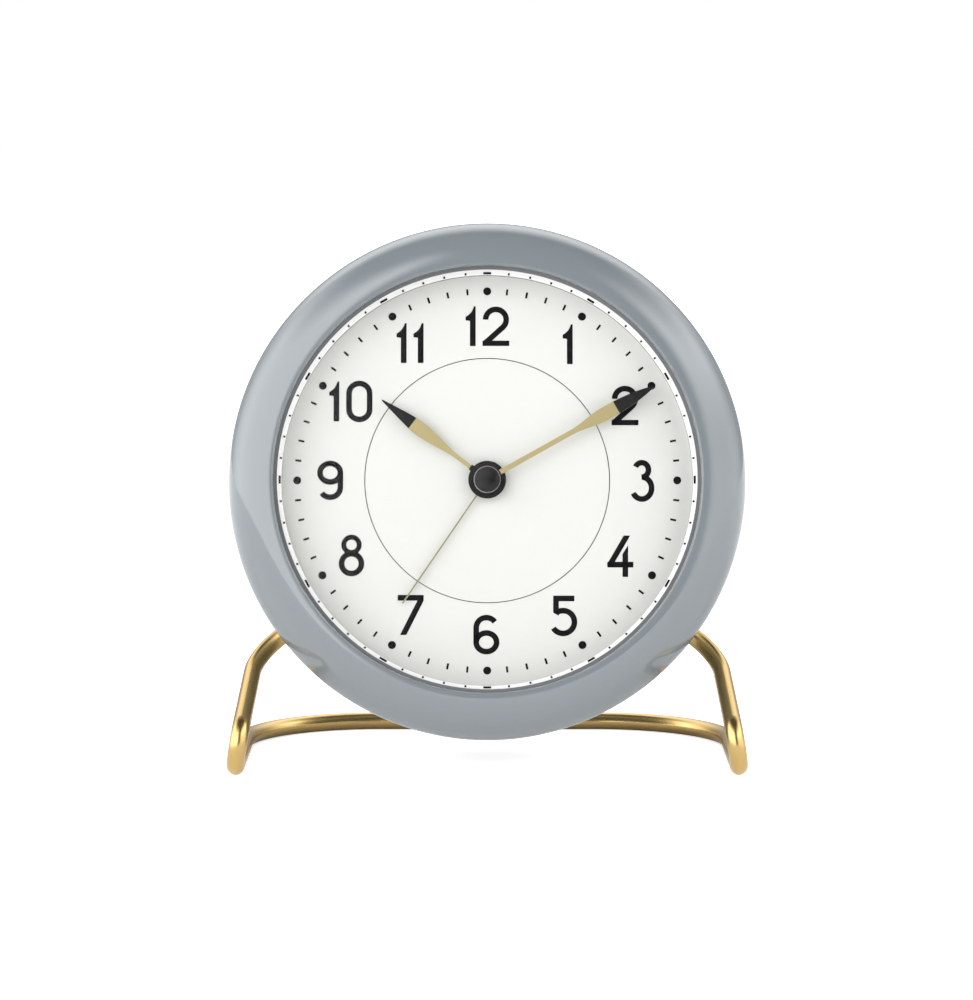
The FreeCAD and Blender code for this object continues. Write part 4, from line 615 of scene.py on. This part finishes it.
def clear_glass():
    """Clear coated glass. It lets light straight through, and mirrors a small share where it faces the eye,
    which grows to all of it at a grazing angle with the fifth power of one minus the angle's cosine."""
    finish = bpy.data.materials.new("clear_glass")
    finish.use_nodes = True
    finish.node_tree.nodes.clear()
    through = add_node(finish, "ShaderNodeBsdfTransparent")
    mirror = add_node(finish, "ShaderNodeBsdfGlossy")
    mirror.inputs["Roughness"].default_value = 0.02
    turned_away = add_node(finish, "ShaderNodeLayerWeight").outputs["Facing"]
    grazing = combine(finish, "POWER", turned_away, GRAZING_POWER)
    share = combine(finish, "MULTIPLY_ADD", grazing, 1.0 - FACING_MIRROR, FACING_MIRROR)
    mix = add_node(finish, "ShaderNodeMixShader")
    out = add_node(finish, "ShaderNodeOutputMaterial")
    join(finish, share, mix.inputs["Fac"])
    join(finish, through.outputs["BSDF"], mix.inputs[1])
    join(finish, mirror.outputs["BSDF"], mix.inputs[2])
    join(finish, mix.outputs["Shader"], out.inputs["Surface"])
    return finish


dress(clear_glass(), "lens")
dress(moulded_plastic("grey_rubber", colour(98, 100, 102), 0.6, 4000, 5e-6), "lens_gasket")

# The case: bezel and rear shell moulded in glossy grey ABS, with the knobs, snooze bar, alarm slide and
# battery door in the same plastic. Four screws from the back draw the two halves together.


def glossy_case():
    """High gloss grey with a trace of orange peel and a faint change of tone in broad patches."""
    finish = new_finish("glossy_case", {"IOR": 1.52, "Specular IOR Level": 0.72})
    peel = object_noise(finish, 220, 2.0)
    patches = object_noise(finish, 18, 1.0)
    tone = blend_colours(finish, patches, colour(106, 112, 116), colour(111, 117, 121))
    join(finish, tone, shader_socket(finish, "Base Color"))
    vary_value(finish, object_noise(finish, 900), "Roughness", 0.04, 0.07)
    add_bump(finish, peel, 6e-6)
    return finish


CASE_GREY = glossy_case()
dress(CASE_GREY, "bezel", "rear_shell", "battery_door")
KNOB_GREY = moulded_plastic("satin_controls", colour(140, 147, 151), 0.34, 2200, 6e-6)
dress(KNOB_GREY, "time_knob", "alarm_knob", "alarm_switch", "snooze_button")

# The bezel's ring as the eye meets it: one moulding, hollow at the back, whose crest lies close to the
# glass. Short tubes inside its groove take the screws of the dial's carrier.

LENS_OPENING = 45.0
CREST_RADIUS = 45.5
POCKET_RADIUS = 46.4
GROOVE_INNER = 48.6
SKIRT_INNER = 52.6
CASE_RADIUS = 55.0
CREST_HEIGHT = 8.0
LIP_HEIGHT = 6.0
SEAT_HEIGHT = 5.4
DIAL_BACK = -0.8
WIDEST_HEIGHT = -1.5
PARTING_HEIGHT = -9.0
BOSS_TOP = 3.6
BOSS_BORE = 0.8
BOSS_RADIUS = 2.2
BOSS_CIRCLE = 50.6
LIP_POINTS = 24
FRONT_POINTS = 64
GROOVE_POINTS = 16
RING_STEPS = 288
BOSS_STEPS = 32
SHARP_EDGE = math.radians(30)


def quarter_round(start, corner, end, count):
    """Quarter of an ellipse that bulges to a corner: its centre, plus the cosine of the arrow to the start,
    plus the sine of the arrow to the end."""
    start, corner, end = (np.array(point, float) for point in (start, corner, end))
    centre = start + end - corner
    angle = np.linspace(0, np.pi / 2, count)[:, None]
    return centre + np.cos(angle) * (start - centre) + np.sin(angle) * (end - centre)


def turned(profile, middle, count):
    """Closed profile of radius and height, swung round an axis out of the dial: each point goes by its
    radius times sine and cosine from the middle. Quads join neighbours both ways, and the last the first."""
    angle = np.linspace(0, 2 * np.pi, count, endpoint=False)
    radius, height = np.asarray(profile, float).T
    across = middle[0] + np.outer(radius, np.sin(angle))
    up = middle[1] + np.outer(radius, np.cos(angle))
    out = np.repeat(height[:, None], count, axis=1)
    number = np.arange(len(profile) * count).reshape(len(profile), count)
    beside = np.roll(number, -1, axis=1)
    quads = np.stack([number, beside, np.roll(beside, -1, axis=0), np.roll(number, -1, axis=0)], axis=-1)
    return np.stack([across, up, out], axis=-1).reshape(-1, 3), quads.reshape(-1, 4)


def bezel_profile():
    """Radius and height round the section: lip, crest, widest ring, skirt, groove and lens pocket."""
    lip = (LENS_OPENING, LIP_HEIGHT)
    crest = (CREST_RADIUS, CREST_HEIGHT)
    widest = (CASE_RADIUS, WIDEST_HEIGHT)
    groove_side = (SKIRT_INNER, WIDEST_HEIGHT)
    groove_top = (GROOVE_INNER, SEAT_HEIGHT)
    return np.vstack([
        [(LENS_OPENING, SEAT_HEIGHT)],
        quarter_round(lip, (LENS_OPENING, CREST_HEIGHT), crest, LIP_POINTS),
        quarter_round(crest, (CASE_RADIUS, CREST_HEIGHT), widest, FRONT_POINTS)[1:],
        [(CASE_RADIUS, PARTING_HEIGHT), (SKIRT_INNER, PARTING_HEIGHT)],
        quarter_round(groove_side, (SKIRT_INNER, SEAT_HEIGHT), groove_top, GROOVE_POINTS),
        [(GROOVE_INNER, DIAL_BACK), (POCKET_RADIUS, DIAL_BACK), (POCKET_RADIUS, SEAT_HEIGHT)],
    ])


def bezel_ring():
    """The ring and its four tubes, all turned, in one mesh: each one's points are counted on from the last."""
    shells = [turned(bezel_profile(), (0.0, 0.0), RING_STEPS)]
    boss = [(BOSS_BORE, DIAL_BACK), (BOSS_BORE, BOSS_TOP),
            (BOSS_RADIUS, BOSS_TOP), (BOSS_RADIUS, DIAL_BACK)]
    for across, up in ((BOSS_CIRCLE, 0.0), (0.0, BOSS_CIRCLE), (-BOSS_CIRCLE, 0.0), (0.0, -BOSS_CIRCLE)):
        shells.append(turned(boss, (across, up), BOSS_STEPS))
    firsts = np.cumsum([0] + [len(points) for points, _ in shells[:-1]])
    points = on_clock(np.vstack([points for points, _ in shells]))
    faces = np.vstack([quads + first for (_, quads), first in zip(shells, firsts)])
    return add_piece("bezel_ring", points, faces, CASE_GREY, "case")


ring = bezel_ring()
ring.data.shade_smooth()
ring.data.set_sharp_from_angle(angle=SHARP_EDGE)
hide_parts("bezel")

# The cell: a standard steel can in a plain dark wrapper, with a copper coloured band at its positive
# end. It lies in the tub of the rear shell, pressed between two nickelled contacts.

BAND_SHARE = 0.3


def cell_wrapper():
    """Shrink wrap in two colours, parted across the cell at a share of its length from one end."""
    finish = new_finish("cell_wrapper", {"Roughness": 0.3, "Metallic": 0.4})
    low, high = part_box("battery_cell")
    band_from = high.x - BAND_SHARE * (high.x - low.x)
    place = add_node(finish, "ShaderNodeTexCoord")
    axes = add_node(finish, "ShaderNodeSeparateXYZ")
    join(finish, place.outputs["Object"], axes.inputs["Vector"])
    band = combine(finish, "GREATER_THAN", axes.outputs["X"], band_from)
    tone = blend_colours(finish, band, colour(46, 47, 50), colour(176, 116, 62))
    join(finish, tone, shader_socket(finish, "Base Color"))
    add_bump(finish, object_noise(finish, 700), 8e-6)
    return finish


dress(cell_wrapper(), "battery_cell")

# The stand: one length of drawn brass wire, bent to shape and satin polished, pinched in two sockets of
# the rear shell.


def satin_brass():
    """Brass with the fine lines of polishing and a slow change of tone along the wire."""
    finish = new_finish("satin_brass", {"Metallic": 1.0})
    tone = blend_colours(finish, object_noise(finish, 40, 2.0), colour(180, 152, 97), colour(192, 164, 109))
    join(finish, tone, shader_socket(finish, "Base Color"))
    polish = object_noise(finish, 5000, 4.0)
    vary_value(finish, polish, "Roughness", 0.2, 0.3)
    add_bump(finish, polish, 2e-6)
    return finish


dress(satin_brass(), "stand")

# The studio: a white table in a tent of white cloth that is lit on the left, less on the right, and
# behind the clock, and dark over and behind the camera, which looks in slightly from above.

FLOOR_RADIUS = 8.0
FLOOR_SIDES = 64
FLOOR_GLOW_NEAR = 0.7
FLOOR_GLOW_FAR = 1.0
FLOOR_GLOW_MIRRORED = 0.7
MIRRORED_FROM = 0.06
MIRRORED_TO = 0.3
FRONT_FROM = 0.02
FRONT_TO = -0.04
GLOW_FROM = 0.2
GLOW_TO = 0.7


def floor_mesh():
    """Disc on the table's level: one face between points on a circle, at cosine and sine of the angle."""
    angle = np.linspace(0, 2 * np.pi, FLOOR_SIDES, endpoint=False)
    ring = FLOOR_RADIUS * np.column_stack([np.cos(angle), np.sin(angle), np.zeros(FLOOR_SIDES)])
    mesh = bpy.data.meshes.new("floor")
    mesh.from_pydata(ring.tolist(), [], [tuple(range(FLOOR_SIDES))])
    return mesh


def fade(tree, value, start, end):
    """Smooth step from 0 to 1 while a value goes from the start to the end."""
    step = add_node(tree, "ShaderNodeMapRange", interpolation_type="SMOOTHSTEP")
    step.inputs["From Min"].default_value = start
    step.inputs["From Max"].default_value = end
    join(tree, value, step.inputs["Value"])
    return step.outputs["Result"]


def white_table():
    """Pale paper with its own glow, which grows with the distance from the clock and hides the horizon. The
    clock mirrors only a part of the glow, and only from far off and from in front of it."""
    finish = new_finish("white_table", {"Base Color": colour(222, 222, 222), "Roughness": 0.9,
                                        "Specular IOR Level": 0.1, "Emission Color": (1.0, 1.0, 1.0, 1.0)})
    place = add_node(finish, "ShaderNodeTexCoord").outputs["Object"]
    axes = add_node(finish, "ShaderNodeSeparateXYZ")
    join(finish, place, axes.inputs["Vector"])
    distance = combine_arrows(finish, "LENGTH", place)["Value"]
    farther = fade(finish, distance, GLOW_FROM, GLOW_TO)
    glow = combine(finish, "MULTIPLY_ADD", farther, FLOOR_GLOW_FAR - FLOOR_GLOW_NEAR, FLOOR_GLOW_NEAR)
    far_off = fade(finish, distance, MIRRORED_FROM, MIRRORED_TO)
    in_front = fade(finish, axes.outputs["Y"], FRONT_FROM, FRONT_TO)
    outside = combine(finish, "MAXIMUM", far_off, in_front)
    mirrored = combine(finish, "MULTIPLY", outside, FLOOR_GLOW_MIRRORED)
    seen = add_node(finish, "ShaderNodeLightPath").outputs["Is Camera Ray"]
    strength = combine(finish, "MULTIPLY", glow, combine(finish, "MAXIMUM", seen, mirrored))
    join(finish, strength, shader_socket(finish, "Emission Strength"))
    return finish


floor = bpy.data.objects.new("floor", floor_mesh())
floor.data.materials.append(white_table())
bpy.context.scene.collection.objects.link(floor)

LEFT_WALL = 3.65
RIGHT_WALL = 2.1
RIGHT_TOP = 3.9
BACK_WALL = 0.45
BACK_ROOF = 2.4
UNLIT = 0.1
WALL_TOP = (0.92, 0.56)
WALL_REAR = (0.95, 0.0)
LEFT_EDGE = (-0.03, -0.2)
RIGHT_EDGE = (0.2, 0.55)
RIGHT_RISE = (0.25, 0.6)
ROOF_RISE = (0.2, 0.7)
BACK_EDGE = (0.2, 0.65)


def tent():
    """Light by direction. Each wall's strength fades in smoothly with the direction's share to the side, to
    the back and upwards, and the strongest one counts. The camera itself sees plain white."""
    world = bpy.data.worlds.new("tent")
    world.use_nodes = True
    background = world.node_tree.nodes["Background"]
    background.inputs["Color"].default_value = (1.0, 1.0, 1.0, 1.0)
    axes = add_node(world, "ShaderNodeSeparateXYZ")
    join(world, add_node(world, "ShaderNodeTexCoord").outputs["Generated"], axes.inputs["Vector"])
    aside, behind, above = (axes.outputs[axis] for axis in "XYZ")
    wall = combine(world, "MULTIPLY", fade(world, above, *WALL_TOP), fade(world, behind, *WALL_REAR))
    left = combine(world, "MULTIPLY", fade(world, aside, *LEFT_EDGE), LEFT_WALL)
    higher = fade(world, above, *RIGHT_RISE)
    rising = combine(world, "MULTIPLY_ADD", higher, RIGHT_TOP - RIGHT_WALL, RIGHT_WALL)
    right = combine(world, "MULTIPLY", fade(world, aside, *RIGHT_EDGE), rising)
    sides = combine(world, "MULTIPLY", wall, combine(world, "MAXIMUM", left, right))
    roof = combine(world, "MULTIPLY_ADD", fade(world, above, *ROOF_RISE), BACK_ROOF - BACK_WALL, BACK_WALL)
    back = combine(world, "MULTIPLY", fade(world, behind, *BACK_EDGE), roof)
    lit = combine(world, "MAXIMUM", combine(world, "MAXIMUM", sides, back), UNLIT)
    seen = add_node(world, "ShaderNodeLightPath").outputs["Is Camera Ray"]
    join(world, combine(world, "MAXIMUM", lit, seen), background.inputs["Strength"])
    return world


bpy.context.scene.world = tent()
bpy.context.scene.view_settings.view_transform = "Standard"

# The camera: at the photograph's angle, slightly above the clock and about eight clock widths away. Its
# shift puts the case at its place in the photograph's frame.

IMAGE_HEIGHT = 1000
IMAGE_WIDTH = 973
CASE_PIXELS = 515.5
CASE_DIAMETER = 0.110
CASE_IMAGE_CENTRE = (487.2, 482.1)
CAMERA_DISTANCE = 0.9
CAMERA_ELEVATION = math.radians(5.4)
AIM_DEPTH = -0.0055
SENSOR = 36.0

camera_data = bpy.data.cameras.new("camera")
camera = bpy.data.objects.new("camera", camera_data)
bpy.context.scene.collection.objects.link(camera)
aim = DIAL_CENTRE + AIM_DEPTH * DIAL_OUT
backwards = np.array([0.0, -math.cos(CAMERA_ELEVATION), math.sin(CAMERA_ELEVATION)])
camera.location = aim + CAMERA_DISTANCE * backwards
camera.rotation_euler = (math.pi / 2 - CAMERA_ELEVATION, 0.0, 0.0)
camera_data.sensor_width = SENSOR
camera_data.lens = SENSOR * CASE_PIXELS / IMAGE_HEIGHT * CAMERA_DISTANCE / CASE_DIAMETER
camera_data.shift_x = (IMAGE_WIDTH / 2 - CASE_IMAGE_CENTRE[0]) / IMAGE_HEIGHT
camera_data.shift_y = (CASE_IMAGE_CENTRE[1] - IMAGE_HEIGHT / 2) / IMAGE_HEIGHT
bpy.context.scene.camera = camera
